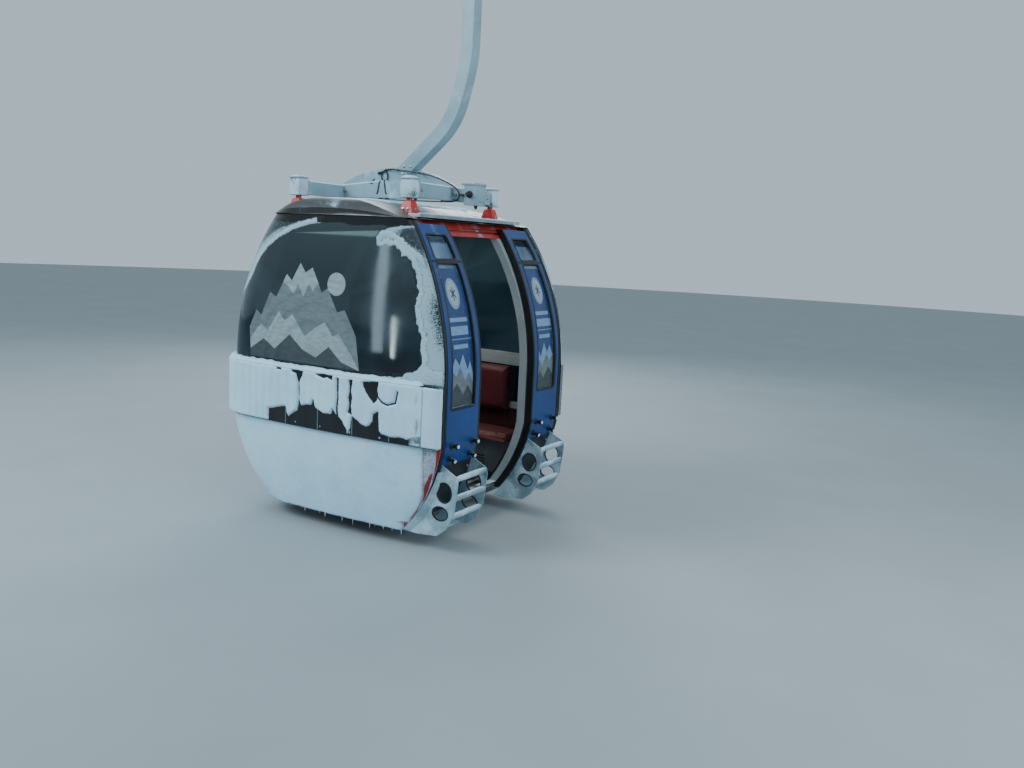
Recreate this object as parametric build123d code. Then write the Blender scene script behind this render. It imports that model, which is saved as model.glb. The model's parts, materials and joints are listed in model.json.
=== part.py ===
# Gondola cabin of a detachable ropeway with its hanger and rope grip.
# Millimetres. Z is up, X points out of the doors, Y runs along the rope.
# The origin is on the rope's centre line, in the middle of the grip's jaws.
# Cabin and hanger are drawn from the underside of the shell, grip from the rope.
from build123d import *
from math import sqrt
import os

# Heights above the underside of the shell
ROPE_HEIGHT = 4980.0
BELT_LOW = 597.0
BELT_HIGH = 985.0
WIDEST = 985.0
ROOF_EDGE = 2000.0
ROOF_RISE = 122.0

# Plan sizes of the shell at its widest level
HALF_WIDTH = 949.0
HALF_LENGTH = 835.0
END_RADIUS = 9000.0
DOOR_CORNER = 16.0
BACK_CORNER = 340.0
SMALLEST_CORNER = 8.0

# Arcs that draw the shell in above its widest level and below the belt
SIDE_ARC = 1675.0
END_ARC = 9100.0
SIDE_LOW_ARC = 1120.0
SIDE_LOW_RISE = 200.0
END_LOW_ARC = 2400.0
LOFT_STEPS = 4

# Walls, panes, roof and floor
WALL = 40.0
PANE = 8.0
FRAME = 48.0
BELT_PROUD = 35.0
BACK_SPLIT = 430.0
POST = 44.0
ROOF_OVERHANG = 12.0
ROOF_LEVELS = (
    # share of the rise, drawn in at the sides, at the ends, share of the reach over the doors
    (0.0, -ROOF_OVERHANG, -ROOF_OVERHANG, 1.0),
    (0.32, 100.0, 15.0, 0.2),
    (0.63, 230.0, 50.0, 0.0),
    (0.89, 400.0, 110.0, 0.0),
    (1.0, 520.0, 200.0, 0.0),
)
FLOOR = 45.0
MAT = 4.0
MAT_MARGIN = 60.0
SKID = 80.0
SKID_HIGH = 30.0
SKID_X = 330.0
SKID_HALF = 520.0

# Door side of the shell
DOOR_WALL = 60.0
CORNER_START = 105.0
CORNER_SEAL = 35.0
CORNER_TRIM = 3.0
SILL_HIGH = 118.0
HEADER_DROP = 95.0
UPPER_TRACK_DROP = 62.0
LOWER_TRACK_DROP = 26.0
TRACK_DEPTH = 26.0
TRACK_HEIGHT = 14.0
GUTTER_DEEP = 90.0
GUTTER_LOW = 12.0
GUTTER_HIGH = 34.0
GUTTER_SHORT = 220.0

# Door leaves
MOVING_GAP = 6.0
MEETING_GAP = 5.0
DOOR_GAP = 14.0
LEAF_THICK = 46.0
LEAF_WIDTH = 378.0
LEAF_SEAL = 20.0
LEAF_LOW = 75.0
LEAF_DROP = 28.0
LAP = 30.0
STILE = 46.0
TOP_RAIL = 64.0
BAR = 22.0
VENT_DROP = 216.0
LEAF_WINDOW_LOW = 830.0
SHOE_CLEAR = 0.3
SHOE_LENGTH = 60.0
SHOE_FIRST = 32.0
SHOE_LAST = 100.0

# Ski rack on each leaf, outward of the shell's widest line
RACK_TOP = 478.0
RACK_PLATE = 5.0
RACK_INSET = 22.0
RACK_RAIL = 9.0
RAIL_HIGH = 24.0
RACK_OUTLINE = (
    # outward, height
    (148.0, 420.0),
    (158.0, 380.0),
    (137.0, 180.0),
    (81.0, 70.0),
    (10.0, 14.0),
    (-130.0, 0.0),
)
RACK_HOLES = (
    # outward, height, half length, half height
    (55.0, 305.0, 57.0, 66.0),
    (29.0, 165.0, 60.0, 46.0),
)
RACK_RAILS = (404.0, 279.0, 153.0)
RACK_FLOOR = (12.0, 20.0)
RACK_FLOOR_WIDE = 85.0

# Seats
SEAT_TOP = 455.0
SEAT_PAD = 55.0
SEAT_DEPTH = 400.0
BENCH_INSET = 60.0
BENCH_LOW = 150.0
BENCH_BACK = 50.0
PLINTH_BACK = 110.0
BACKREST_LOW = 568.0
BACKREST_HIGH = 935.0
BACKREST_PAD = 50.0
BACKREST_MARGIN = 33.0
SOFT_GAP = 0.4

# Suspension frame on the roof, heights above the roof's edge
MOUNT_IN_X = 120.0
MOUNT_IN_Y = 290.0
BRACKET_RISE = 135.0
BRACKET_FOOT = (66.0, 50.0)
BRACKET_HEAD = (30.0, 28.0)
STUD_RADIUS = 20.0
STUD_HIGH = 20.0
DAMPER = 96.0
DAMPER_HIGH = 128.0
BAR_LIFT = 10.0
BAR_WIDE = 60.0
BAR_HIGH = 90.0
BEAM_PAST_BAR = 135.0
BEAM_WIDE = 100.0
BEAM_END_HIGH = 70.0
BEAM_MID_HIGH = 125.0
GUSSET_HIGH = 215.0
GUSSET_THICK = 30.0
GUSSET_HOLE = (-200.0, 115.0, 22.0)
LOCK_BOX = (95.0, 120.0, 145.0)

# Hanger
HANGER_BOX = 92.0
HANGER_OUT = 585.0
HANGER_FOOT = 60.0
HANGER_SINK = 45.0
BEND_IN = 110.0
BENDS = (500.0, 900.0, 900.0, 350.0, 110.0)

# Grip
ROPE_RADIUS = 23.0
JAW_LENGTH = 220.0
JAW_TOP = 45.0
JAW_BACK = 75.0
JAW_GAP = 6.0
JAW_BITE = 30.0
CORE_LOW = 150.0
PIN_DROP = 230.0
PIN_RADIUS = 22.0
PIN_FOOT = 55.0
RUNNING = 0.05
HUB_RADIUS = 50.0
HUB_START = 45.0
HUB_LENGTH = 120.0
NUT_RADIUS = 34.0
NUT_THICK = 24.0
END_FLOAT = 6.0
PLATE_THICK = 25.0
PLATE_HALF = 190.0
PLATE_TOP = 75.0
WHEEL_RADIUS = 55.0
WHEEL_WIDE = 36.0
WHEEL_Y = 150.0
WHEEL_Z = 40.0
WHEEL_SPACE = 12.0
AXLE_RADIUS = 12.0
AXLE_HEAD = 6.0
GUIDE_RADIUS = 28.0
GUIDE_WIDE = 30.0
GUIDE_OUT = 36.0
SHELF = 15.0
JAW_PIVOT = (62.0, -82.0)
JAW_HUB = 22.0
LUG = 24.0
JAW_SIDE_GAP = 6.0
JAW_HALF = 74.0
LEVER_END = (190.0, -20.0)
LEVER_WIDE = 40.0
ROLLER_RADIUS = 30.0
ROLLER_WIDE = 26.0
ROLLER_AXLE = 8.0
SPRING_RADIUS = 36.0
SPRING_LONG = 135.0
SPRING_AT = (-22.0, 105.0)
BIG = 3000.0

# Places that follow from the sizes above
CORNER = HALF_LENGTH - CORNER_START
SEAL_EDGE = CORNER + CORNER_SEAL
LEAF_OUTER_Y = CORNER - MOVING_GAP
LEAF_REST = LEAF_OUTER_Y - LEAF_WIDTH
LEAF_FACE = DOOR_GAP + LEAF_THICK
DOOR_REACH = LEAF_FACE + CORNER_TRIM
LEAF_HIGH = ROOF_EDGE - LEAF_DROP
HEADER_LOW = ROOF_EDGE - HEADER_DROP
UPPER_TRACK = ROOF_EDGE - UPPER_TRACK_DROP
LOWER_TRACK = SILL_HIGH - LOWER_TRACK_DROP
BENCH_LIP = HALF_LENGTH - WALL - SEAT_DEPTH
BRACKET_TOP = ROOF_EDGE + BRACKET_RISE
BAR_Z = BRACKET_TOP + BAR_LIFT
BEAM_Z = BAR_Z + BAR_LIFT
HUB_Z = ROPE_HEIGHT - PIN_DROP


def block(x0, x1, y0, y1, z0, z1):
    return Pos((x0 + x1) / 2, (y0 + y1) / 2, (z0 + z1) / 2) * Box(x1 - x0, y1 - y0, z1 - z0)


def rod(start, end, radius):
    """A round bar from one point to another."""
    a = Vector(*start)
    b = Vector(*end)
    circle = Edge.make_circle(radius, Plane(origin=a, z_dir=b - a))
    return Solid.extrude(Face(Wire(circle)), b - a)


def slab(edges, along):
    """A flat outline drawn out along a vector."""
    return Solid.extrude(Face(Wire(edges)), Vector(*along))


def both(shape):
    """The same shape on the other side of the cabin's middle."""
    return mirror(shape, about=Plane.XZ)


def arc_in(radius, reach, start=0.0):
    """How far an arc has turned in after a reach, from a start off its crown."""
    return sqrt(radius ** 2 - start ** 2) - sqrt(radius ** 2 - (start + reach) ** 2)


def half_width(z):
    """The shell's side: an arc above, a flat at the belt and an arc below."""
    if z > WIDEST:
        return HALF_WIDTH - arc_in(SIDE_ARC, z - WIDEST)
    if z < BELT_LOW:
        return HALF_WIDTH - arc_in(SIDE_LOW_ARC, BELT_LOW - z, SIDE_LOW_RISE)
    return HALF_WIDTH


def end_lean(z):
    return arc_in(END_ARC, z - WIDEST) if z > WIDEST else 0.0


def half_length(z):
    if z < BELT_LOW:
        return HALF_LENGTH - arc_in(END_LOW_ARC, BELT_LOW - z)
    return HALF_LENGTH - end_lean(z)


def ring(z, half_x, half_y, shrink=0.0, reach=0.0):
    """The shell's plan at one height, with rounded corners and bowed ends."""
    door_x = half_x - shrink + reach
    back_x = shrink - half_x
    hy = half_y - shrink
    big = END_RADIUS - shrink
    found = {}
    for key, x, radius in (("door", door_x, DOOR_CORNER), ("back", back_x, BACK_CORNER)):
        side = 1 if x > 0 else -1
        r = max(SMALLEST_CORNER, radius - shrink)
        cx = x - side * r
        cy = hy - big + sqrt((big - r) ** 2 - cx ** 2)
        k = big / (big - r)
        touch = (cx * k, hy - big + (cy - hy + big) * k)
        mid = Vector(side, 0).rotate(Axis.Z, side * 42)
        found[key] = (cy, touch, (cx + r * mid.X, cy + r * mid.Y))
    dy, dt, dm = found["door"]
    by, bt, bm = found["back"]

    def other(point):
        return (point[0], -point[1])

    edges = [
        Line((door_x, -dy), (door_x, dy)),
        ThreePointArc((door_x, dy), dm, dt),
        ThreePointArc(dt, (0, hy), bt),
        ThreePointArc(bt, bm, (back_x, by)),
        Line((back_x, by), (back_x, -by)),
        ThreePointArc((back_x, -by), other(bm), other(bt)),
        ThreePointArc(other(bt), (0, -hy), other(dt)),
        ThreePointArc(other(dt), other(dm), (door_x, -dy)),
    ]
    return Pos(0, 0, z) * Face(Wire(edges))


def shell_loft(low, high, shrink):
    """A solid of the shell's outer form between two heights, out past the door leaves."""
    faces = []
    for step in range(LOFT_STEPS + 1):
        z = low + (high - low) * step / LOFT_STEPS
        faces.append(ring(z, half_width(z), half_length(z), shrink, DOOR_REACH))
    return loft(faces)


def belt_loft(low, high, shrink):
    """A straight band between two heights at the belt."""
    return loft([ring(z, HALF_WIDTH, HALF_LENGTH, shrink, DOOR_REACH) for z in (low, high)], ruled=True)


def side_curve(off, z0, z1):
    """The door side's profile in the XZ plane, moved out by off."""
    stops = sorted({z0, z1} | {z for z in (BELT_LOW, WIDEST) if z0 < z < z1})
    edges = []
    for a, b in zip(stops[:-1], stops[1:]):
        start = (half_width(a) + off, 0, a)
        end = (half_width(b) + off, 0, b)
        mid = (a + b) / 2
        if BELT_LOW <= a and b <= WIDEST:
            edges.append(Line(start, end))
        else:
            edges.append(ThreePointArc(start, (half_width(mid) + off, 0, mid), end))
    return edges


def side_band(x_in, x_out, z0, z1, y0=-BIG, y1=BIG):
    """A slab that follows the door side's profile, drawn out along Y."""
    edges = side_curve(x_in, z0, z1) + side_curve(x_out, z0, z1)
    for z in (z0, z1):
        edges.append(Line((half_width(z) + x_in, 0, z), (half_width(z) + x_out, 0, z)))
    return Pos(0, y0, 0) * slab(edges, (0, y1 - y0, 0))


def outside_line(y, lean_below=False):
    """All that lies beyond a line on the door side, which leans in like the ends."""
    top = ROOF_EDGE + 100
    upper = (WIDEST + top) / 2
    edges = [
        ThreePointArc((0, y, WIDEST), (0, y - end_lean(upper), upper), (0, y - end_lean(top), top)),
        Line((0, y - end_lean(top), top), (0, BIG, top)),
    ]
    if lean_below:
        half = BELT_LOW / 2
        foot = y - arc_in(END_LOW_ARC, BELT_LOW)
        edges.append(Line((0, BIG, top), (0, BIG, 0)))
        edges.append(Line((0, BIG, 0), (0, foot, 0)))
        edges.append(ThreePointArc((0, foot, 0), (0, y - arc_in(END_LOW_ARC, half), half), (0, y, BELT_LOW)))
        edges.append(Line((0, y, BELT_LOW), (0, y, WIDEST)))
    else:
        edges.append(Line((0, BIG, top), (0, BIG, -BELT_LOW)))
        edges.append(Line((0, BIG, -BELT_LOW), (0, y, -BELT_LOW)))
        edges.append(Line((0, y, -BELT_LOW), (0, y, WIDEST)))
    return slab(edges, (BIG, 0, 0))


def panel_space(low, high):
    """Where the end panels run: all behind the door side, and its two corners."""
    corner = side_band(-2 * DOOR_WALL, LEAF_FACE, low, high) & outside_line(CORNER)
    corner = corner & outside_line(SEAL_EDGE, lean_below=True)
    return side_band(-BIG, -DOOR_WALL, low, high) + corner + both(corner)


def split_ends(name, whole, gap=0.0):
    """Cuts a band of the shell into its back, rear and front panels."""
    edge = BACK_SPLIT + gap
    rear = whole & block(-BIG, BIG, edge, BIG, -BIG, BIG)
    return {
        f"{name}_back": whole & block(-BIG, 0, -edge, edge, -BIG, BIG),
        f"{name}_rear": rear,
        f"{name}_front": both(rear),
    }


def window_holes(low, high):
    """The holes in the wall frame behind the panes of one band."""
    edge = BACK_SPLIT + POST
    end = side_band(-BIG, -DOOR_WALL - FRAME, low + FRAME, high - FRAME, edge + FRAME, BIG)
    inner = edge - POST - FRAME
    back = block(-BIG, 0, -inner, inner, low + FRAME, high - FRAME)
    return end + both(end) + back


def shell():
    """Panes, wall frames, belt and lower panels; panes and panels wrap the door corners."""
    outer = shell_loft(BELT_HIGH, ROOF_EDGE, PANE)
    skin = (shell_loft(BELT_HIGH, ROOF_EDGE, 0) - outer) & panel_space(BELT_HIGH, ROOF_EDGE)
    parts = split_ends("window", skin, 0.0)
    seam = block(-BIG, 0, BACK_SPLIT, BACK_SPLIT + POST, -BIG, BIG)
    parts["window_rear"] = parts["window_rear"] - seam
    parts["window_front"] = both(parts["window_rear"])
    post = skin & seam
    parts["back_posts"] = Compound([post, both(post)])

    upper = outer - shell_loft(BELT_HIGH, ROOF_EDGE, WALL)
    lower = belt_loft(BELT_LOW, BELT_HIGH, 0) - belt_loft(BELT_LOW, BELT_HIGH, WALL)
    frame = (upper - window_holes(BELT_HIGH, ROOF_EDGE)) + (lower - window_holes(BELT_LOW, BELT_HIGH))
    behind = side_band(-BIG, -DOOR_WALL, BELT_LOW, ROOF_EDGE)
    parts.update(split_ends("wall_frame", frame & behind, POST))

    hollow = belt_loft(BELT_LOW + PANE, BELT_HIGH - PANE, PANE - BELT_PROUD)
    hollow = hollow & side_band(-BIG, LEAF_FACE - PANE, BELT_LOW, BELT_HIGH)
    tray = belt_loft(BELT_LOW, BELT_HIGH, -BELT_PROUD) & panel_space(BELT_LOW, BELT_HIGH)
    tray = tray - hollow - belt_loft(BELT_LOW, BELT_HIGH, 0)
    parts.update(split_ends("belt_window", tray))

    panel = shell_loft(0, BELT_LOW, 0) - shell_loft(0, BELT_LOW, WALL)
    parts.update(split_ends("lower_shell", panel & panel_space(0, BELT_LOW)))
    return parts


def roof():
    """A dome arched across the doors, with steep ends and a lip past the shell and leaves."""
    half_x = half_width(ROOF_EDGE)
    half_y = half_length(ROOF_EDGE)
    faces = []
    for share, side_in, end_in, over_doors in ROOF_LEVELS:
        z = ROOF_EDGE + share * ROOF_RISE
        faces.append(ring(z, half_x, half_y + side_in - end_in, side_in, over_doors * LEAF_FACE))
    return loft(faces)


def floor():
    inside = shell_loft(0, BELT_LOW, WALL) & side_band(-BIG, -DOOR_WALL, -1, BELT_LOW)
    margin = shell_loft(0, BELT_LOW, WALL + MAT_MARGIN) & side_band(-BIG, -DOOR_WALL - FRAME, -1, BELT_LOW)
    mat_end = BENCH_LIP + PLINTH_BACK - MAT
    skids = []
    for x in (-SKID_X, SKID_X):
        skids.append(block(x - SKID / 2, x + SKID / 2, -SKID_HALF, SKID_HALF, -SKID_HIGH, 0))
    return {
        "floor_pan": inside & block(-BIG, BIG, -BIG, BIG, 0, FLOOR),
        "floor_mat": margin & block(-BIG, BIG, -mat_end, mat_end, FLOOR, FLOOR + MAT),
        "floor_skids": Compound(skids),
    }


def track(height):
    """The slot along the door side that a leaf's shoes run in."""
    x = half_width(height)
    half = TRACK_HEIGHT / 2
    return block(x - TRACK_DEPTH, x + DOOR_WALL, -BIG, BIG, height - half, height + half)


def corner_post(panels):
    """The seal carrier at the rear door corner, cut out of the shell's form behind the panels."""
    pieces = []
    for low, high, panel in ((0, BELT_LOW, "lower_shell_rear"), (BELT_HIGH, ROOF_EDGE, "window_rear")):
        form = shell_loft(low, high, 0) & side_band(-DOOR_WALL, LEAF_FACE, low, high)
        pieces.append(form & outside_line(CORNER) - panels[panel])
    belt = belt_loft(BELT_LOW, BELT_HIGH, 0) & side_band(-DOOR_WALL, LEAF_FACE, BELT_LOW, BELT_HIGH)
    return pieces[0] + (belt & outside_line(CORNER)) + pieces[1]


def door_side(dome, panels):
    """Header, sill, side walls with a window each, corner posts and gutter."""
    beyond = outside_line(CORNER)
    between = block(0, BIG, -BIG, BIG, -BIG, BIG) - beyond - both(beyond)
    header = side_band(-DOOR_WALL, 0, HEADER_LOW, ROOF_EDGE) & between
    sill = side_band(-DOOR_WALL, 0, 0, SILL_HIGH) & between
    wall = side_band(-DOOR_WALL, 0, SILL_HIGH, HEADER_LOW) & outside_line(LEAF_WIDTH - LAP) & between
    hole = side_band(-BIG, BIG, BELT_LOW, HEADER_LOW - FRAME) & outside_line(LEAF_WIDTH - LAP + FRAME)
    hole = hole - outside_line(CORNER - FRAME)
    middle = -DOOR_WALL / 2
    pane = side_band(middle - PANE / 2, middle + PANE / 2, 0, ROOF_EDGE) & hole
    corner = corner_post(panels)
    x = half_width(ROOF_EDGE) + LEAF_FACE
    long = HALF_LENGTH - GUTTER_SHORT
    gutter = block(x - GUTTER_DEEP, x + 4, -long, long, ROOF_EDGE + GUTTER_LOW, ROOF_EDGE + GUTTER_HIGH)
    return {
        "door_header": header - track(UPPER_TRACK),
        "door_sill": sill - track(LOWER_TRACK),
        "door_wall_right": wall - hole,
        "door_wall_left": both(wall - hole),
        "side_window_right": pane,
        "side_window_left": both(pane),
        "corner_post_right": corner,
        "corner_post_left": both(corner),
        "door_gutter": gutter - dome,
    }


def shoe(height, y):
    """A tongue on the leaf's inner face that rides on the track's lower lip."""
    x = half_width(height)
    low = height - TRACK_HEIGHT / 2 + SHOE_CLEAR
    high = height + TRACK_HEIGHT / 2 - 3
    body = block(x - TRACK_DEPTH + MOVING_GAP, x + DOOR_GAP + 14, y, y + SHOE_LENGTH, low, high)
    return body - side_band(DOOR_GAP + 4, BIG, 0, ROOF_EDGE)


def leaf():
    """The leaf that stands open at +Y: frame, leading seal and two panes."""
    inner_y = LEAF_REST + LEAF_SEAL
    whole = side_band(DOOR_GAP, LEAF_FACE, LEAF_LOW, LEAF_HIGH, inner_y, LEAF_OUTER_Y)
    frame = whole - outside_line(LEAF_OUTER_Y)
    middle = (DOOR_GAP + LEAF_FACE) / 2
    panes = []
    vent_low = LEAF_HIGH - VENT_DROP
    for low, high in ((LEAF_WINDOW_LOW, vent_low - BAR), (vent_low, LEAF_HIGH - TOP_RAIL)):
        hole = side_band(-DOOR_WALL, BIG, low, high, inner_y + STILE, BIG) - outside_line(LEAF_OUTER_Y - STILE)
        frame = frame - hole
        panes.append(side_band(middle - PANE / 2, middle + PANE / 2, low, high) & hole)
    for height in (UPPER_TRACK, LOWER_TRACK):
        for start in (SHOE_FIRST, LEAF_WIDTH - SHOE_LAST - SHOE_LENGTH):
            frame = frame + shoe(height, LEAF_REST + start)
    seal = side_band(DOOR_GAP, LEAF_FACE, LEAF_LOW, LEAF_HIGH, LEAF_REST, inner_y)
    return {"door_frame": frame, "door_seal": seal, "door_glass": Compound(panes)}


def rack_plate(y):
    """One side plate of the ski rack, with two oval holes."""
    foot_x = half_width(LEAF_LOW)
    inner = side_curve(LEAF_FACE, LEAF_LOW, RACK_TOP)
    outline = [(half_width(RACK_TOP) + LEAF_FACE, 0, RACK_TOP)]
    outline += [(HALF_WIDTH + out, 0, z) for out, z in RACK_OUTLINE]
    outline += [(foot_x, 0, 0), (foot_x + LEAF_FACE, 0, LEAF_LOW)]
    plate = slab(inner + Polyline(*outline).edges(), (0, RACK_PLATE, 0))
    for out, z, long, tall in RACK_HOLES:
        oval = Plane.XZ * Ellipse(long, tall)
        plate = plate - Pos(HALF_WIDTH + out, -RACK_PLATE, z) * extrude(oval, amount=-4 * RACK_PLATE)
    return Pos(0, y, 0) * plate


def rack_out(height):
    """How far out the rack's front edge stands at a height."""
    for (far, za), (near, zb) in zip(RACK_OUTLINE[:-1], RACK_OUTLINE[1:]):
        if zb <= height <= za:
            return HALF_WIDTH + near + (far - near) * (height - zb) / (za - zb)
    return HALF_WIDTH + RACK_OUTLINE[0][0]


def ski_rack():
    """Two side plates, three rails between their front edges and a floor strip."""
    y0 = LEAF_REST + RACK_INSET
    y1 = LEAF_OUTER_Y - RACK_INSET / 2
    rack = rack_plate(y0) + rack_plate(y1 - RACK_PLATE)
    for z in RACK_RAILS:
        x = rack_out(z) - RACK_RAIL
        rack = rack + block(x - RACK_RAIL, x, y0 + 1, y1 - 1, z - RAIL_HIGH / 2, z + RAIL_HIGH / 2)
    x = HALF_WIDTH + RACK_OUTLINE[-1][0]
    return rack + block(x, x + RACK_FLOOR_WIDE, y0 + 1, y1 - 1, *RACK_FLOOR)


def benches():
    """Bench, seat pad and backrest of the rear end."""
    space = shell_loft(0, BELT_LOW, WALL + BENCH_INSET)
    space = space & side_band(-BIG, -DOOR_WALL - BENCH_INSET, -1, BELT_LOW)
    under_pad = SEAT_TOP - SEAT_PAD
    pad = space & block(-BIG, BIG, BENCH_LIP, BIG, under_pad, SEAT_TOP)
    base = space & block(-BIG, BIG, BENCH_LIP + BENCH_BACK, BIG, BENCH_LOW, under_pad - SOFT_GAP)
    plinth = space & block(-BIG, BIG, BENCH_LIP + PLINTH_BACK, BIG, FLOOR, BENCH_LOW)
    wide = HALF_WIDTH - BACK_CORNER - BACKREST_MARGIN
    y = HALF_LENGTH - WALL - arc_in(END_RADIUS - WALL, wide) - SOFT_GAP
    rest = block(-wide, wide, y - BACKREST_PAD, y, BACKREST_LOW, BACKREST_HIGH)
    return {"bench": base + plinth, "seat_pad": pad, "backrest": rest}


def suspension(dome):
    """Roof brackets, dampers, two bars, the domed cross-beam and the lock housing."""
    mount_x = half_width(ROOF_EDGE) - MOUNT_IN_X
    mount_y = half_length(ROOF_EDGE) - MOUNT_IN_Y
    half = DAMPER / 2
    brackets = []
    dampers = []
    bars = []
    stud_z = BRACKET_TOP - STUD_HIGH
    for x in (-mount_x, mount_x):
        for y in (-mount_y, mount_y):
            ends = []
            for (half_x, half_y), z in ((BRACKET_FOOT, ROOF_EDGE), (BRACKET_HEAD, stud_z)):
                ends.append(Pos(x, y, z) * Rectangle(2 * half_x, 2 * half_y).face())
            stud = rod((x, y, stud_z), (x, y, BRACKET_TOP), STUD_RADIUS)
            brackets.append(loft(ends, ruled=True) + stud - dome)
            dampers.append(block(x - half, x + half, y - half, y + half, BRACKET_TOP, BRACKET_TOP + DAMPER_HIGH))
        wide = BAR_WIDE / 2
        bars.append(block(x - wide, x + wide, half - mount_y, mount_y - half, BAR_Z, BAR_Z + BAR_HIGH))

    reach = mount_x + BEAM_PAST_BAR
    outline = Polyline(
        (-reach, 0, BEAM_Z),
        (reach, 0, BEAM_Z),
        (reach, 0, BEAM_Z + BEAM_END_HIGH),
        (0, 0, BEAM_Z + BEAM_MID_HIGH),
        (-reach, 0, BEAM_Z + BEAM_END_HIGH),
        close=True,
    )
    beam = Pos(0, -BEAM_WIDE / 2, 0) * slab(outline.edges(), (0, BEAM_WIDE, 0))
    base_z = BEAM_Z + BEAM_END_HIGH / 2
    ends = reach - BAR_LIFT
    arch = [
        Line((-ends, 0, base_z), (ends, 0, base_z)),
        ThreePointArc((ends, 0, base_z), (0, 0, BEAM_Z + GUSSET_HIGH), (-ends, 0, base_z)),
    ]
    gusset = Pos(0, -GUSSET_THICK / 2, 0) * slab(arch, (0, GUSSET_THICK, 0))
    hole_x, hole_z, hole_r = GUSSET_HOLE
    hole = rod((hole_x, -BEAM_WIDE, BEAM_Z + hole_z), (hole_x, BEAM_WIDE, BEAM_Z + hole_z), hole_r)
    cross = beam + gusset - hole
    for bar in bars:
        cross = cross - bar
    deep, wide, high = LOCK_BOX
    low = BEAM_Z + BEAM_END_HIGH / 2 - high / 2
    lock = block(reach, reach + deep, -wide / 2, wide / 2, low, low + high)
    return {
        "roof_brackets": Compound(brackets),
        "dampers": Compound(dampers),
        "frame_bars": Compound(bars),
        "cross_beam": cross,
        "door_lock_housing": lock,
    }


def hanger(cross_beam):
    """A box-section arm, out past the doors and back over the cabin, with its hub."""
    gusset_top = BEAM_Z + GUSSET_HIGH
    hub_x = HUB_START + HUB_LENGTH / 2
    near = HANGER_OUT - BEND_IN
    path = FilletPolyline(
        (HANGER_FOOT, 0, gusset_top - HANGER_SINK),
        (near, 0, gusset_top + 305),
        (HANGER_OUT, 0, gusset_top + 705),
        (HANGER_OUT, 0, HUB_Z - 690),
        (near, 0, HUB_Z - 310),
        (hub_x, 0, HUB_Z - 130),
        (hub_x, 0, HUB_Z),
        radius=BENDS,
    )
    start = Plane(origin=path @ 0, z_dir=path % 0, x_dir=(0, 1, 0))
    arm = sweep(start * Rectangle(HANGER_BOX, HANGER_BOX), path=path)
    head = rod((HUB_START, 0, HUB_Z), (HUB_START + HUB_LENGTH, 0, HUB_Z), HUB_RADIUS)
    bore = rod((0, 0, HUB_Z), (BIG, 0, HUB_Z), PIN_RADIUS + RUNNING)
    return {"hanger_arm": arm - head - cross_beam, "hanger_head": head - bore}


def wheel(radius, wide, axle):
    """A roller on the Z axis with a running bore and rounded rims."""
    body = Cylinder(radius, wide) - Cylinder(axle + RUNNING, 2 * wide)
    rims = body.edges().filter_by(GeomType.CIRCLE).sort_by(SortBy.RADIUS)[-2:]
    return fillet(rims, 3)


def grip():
    """Fixed parts of the grip: casting with pin, carriage plate, spring housings."""
    half = JAW_LENGTH / 2
    rope = rod((0, -BIG, 0), (0, BIG, 0), ROPE_RADIUS)
    px, pz = JAW_PIVOT
    casting = block(-JAW_BACK, 0, -half, half, -JAW_TOP, JAW_TOP)
    casting = casting + block(-JAW_BACK, JAW_BITE, -half, half, -CORE_LOW, -JAW_TOP)
    casting = casting + block(JAW_BITE, px + JAW_HUB, -half, half, pz - LUG, pz + LUG)
    pocket = JAW_HALF + JAW_SIDE_GAP
    casting = casting - block(5, BIG, -pocket, pocket, pz - 2 * LUG, 1 - JAW_TOP) - rope
    foot = block(-JAW_BACK + 15, JAW_BITE, -62, 62, -PIN_DROP - PIN_FOOT, -CORE_LOW)
    nut_x = HUB_START + HUB_LENGTH + END_FLOAT
    pin = rod((JAW_BITE, 0, -PIN_DROP), (nut_x, 0, -PIN_DROP), PIN_RADIUS)
    nut = rod((nut_x, 0, -PIN_DROP), (nut_x + NUT_THICK, 0, -PIN_DROP), NUT_RADIUS)
    jaw_pin = rod((px, -half, pz), (px, half, pz), AXLE_RADIUS)

    back = -JAW_BACK - PLATE_THICK
    carriage = block(back, -JAW_BACK, -PLATE_HALF, PLATE_HALF, -CORE_LOW, PLATE_TOP)
    end = back - 2 * WHEEL_SPACE - WHEEL_WIDE
    for y in (-WHEEL_Y, WHEEL_Y):
        carriage = carriage + rod((end, y, WHEEL_Z), (back, y, WHEEL_Z), AXLE_RADIUS)
        carriage = carriage + rod((end - AXLE_HEAD, y, WHEEL_Z), (end, y, WHEEL_Z), AXLE_RADIUS + 8)
    guide_x = back - GUIDE_OUT
    shelf = block(guide_x - GUIDE_OUT, back, -34, 34, -CORE_LOW, SHELF - CORE_LOW)
    low = -CORE_LOW - GUIDE_WIDE - 15
    stem = rod((guide_x, 0, low), (guide_x, 0, -CORE_LOW), ROLLER_AXLE)
    cap = rod((guide_x, 0, low - AXLE_HEAD), (guide_x, 0, low), 14)

    sx, sy = SPRING_AT
    springs = [rod((sx, y, -CORE_LOW - SPRING_LONG), (sx, y, -CORE_LOW), SPRING_RADIUS) for y in (-sy, sy)]
    parts = {
        "grip_body": casting + foot + pin + nut + jaw_pin,
        "grip_carriage": carriage + shelf + stem + cap,
        "spring_housings": Compound(springs),
        "guide_roller": Pos(guide_x, 0, -CORE_LOW - GUIDE_WIDE / 2 - 7) * wheel(GUIDE_RADIUS, GUIDE_WIDE, ROLLER_AXLE),
    }
    for name, y in (("rear", WHEEL_Y), ("front", -WHEEL_Y)):
        turned = Rot(0, 90, 0) * wheel(WHEEL_RADIUS, WHEEL_WIDE, AXLE_RADIUS)
        parts[f"running_wheel_{name}"] = Pos(back - WHEEL_SPACE - WHEEL_WIDE / 2, y, WHEEL_Z) * turned
    return parts


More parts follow.
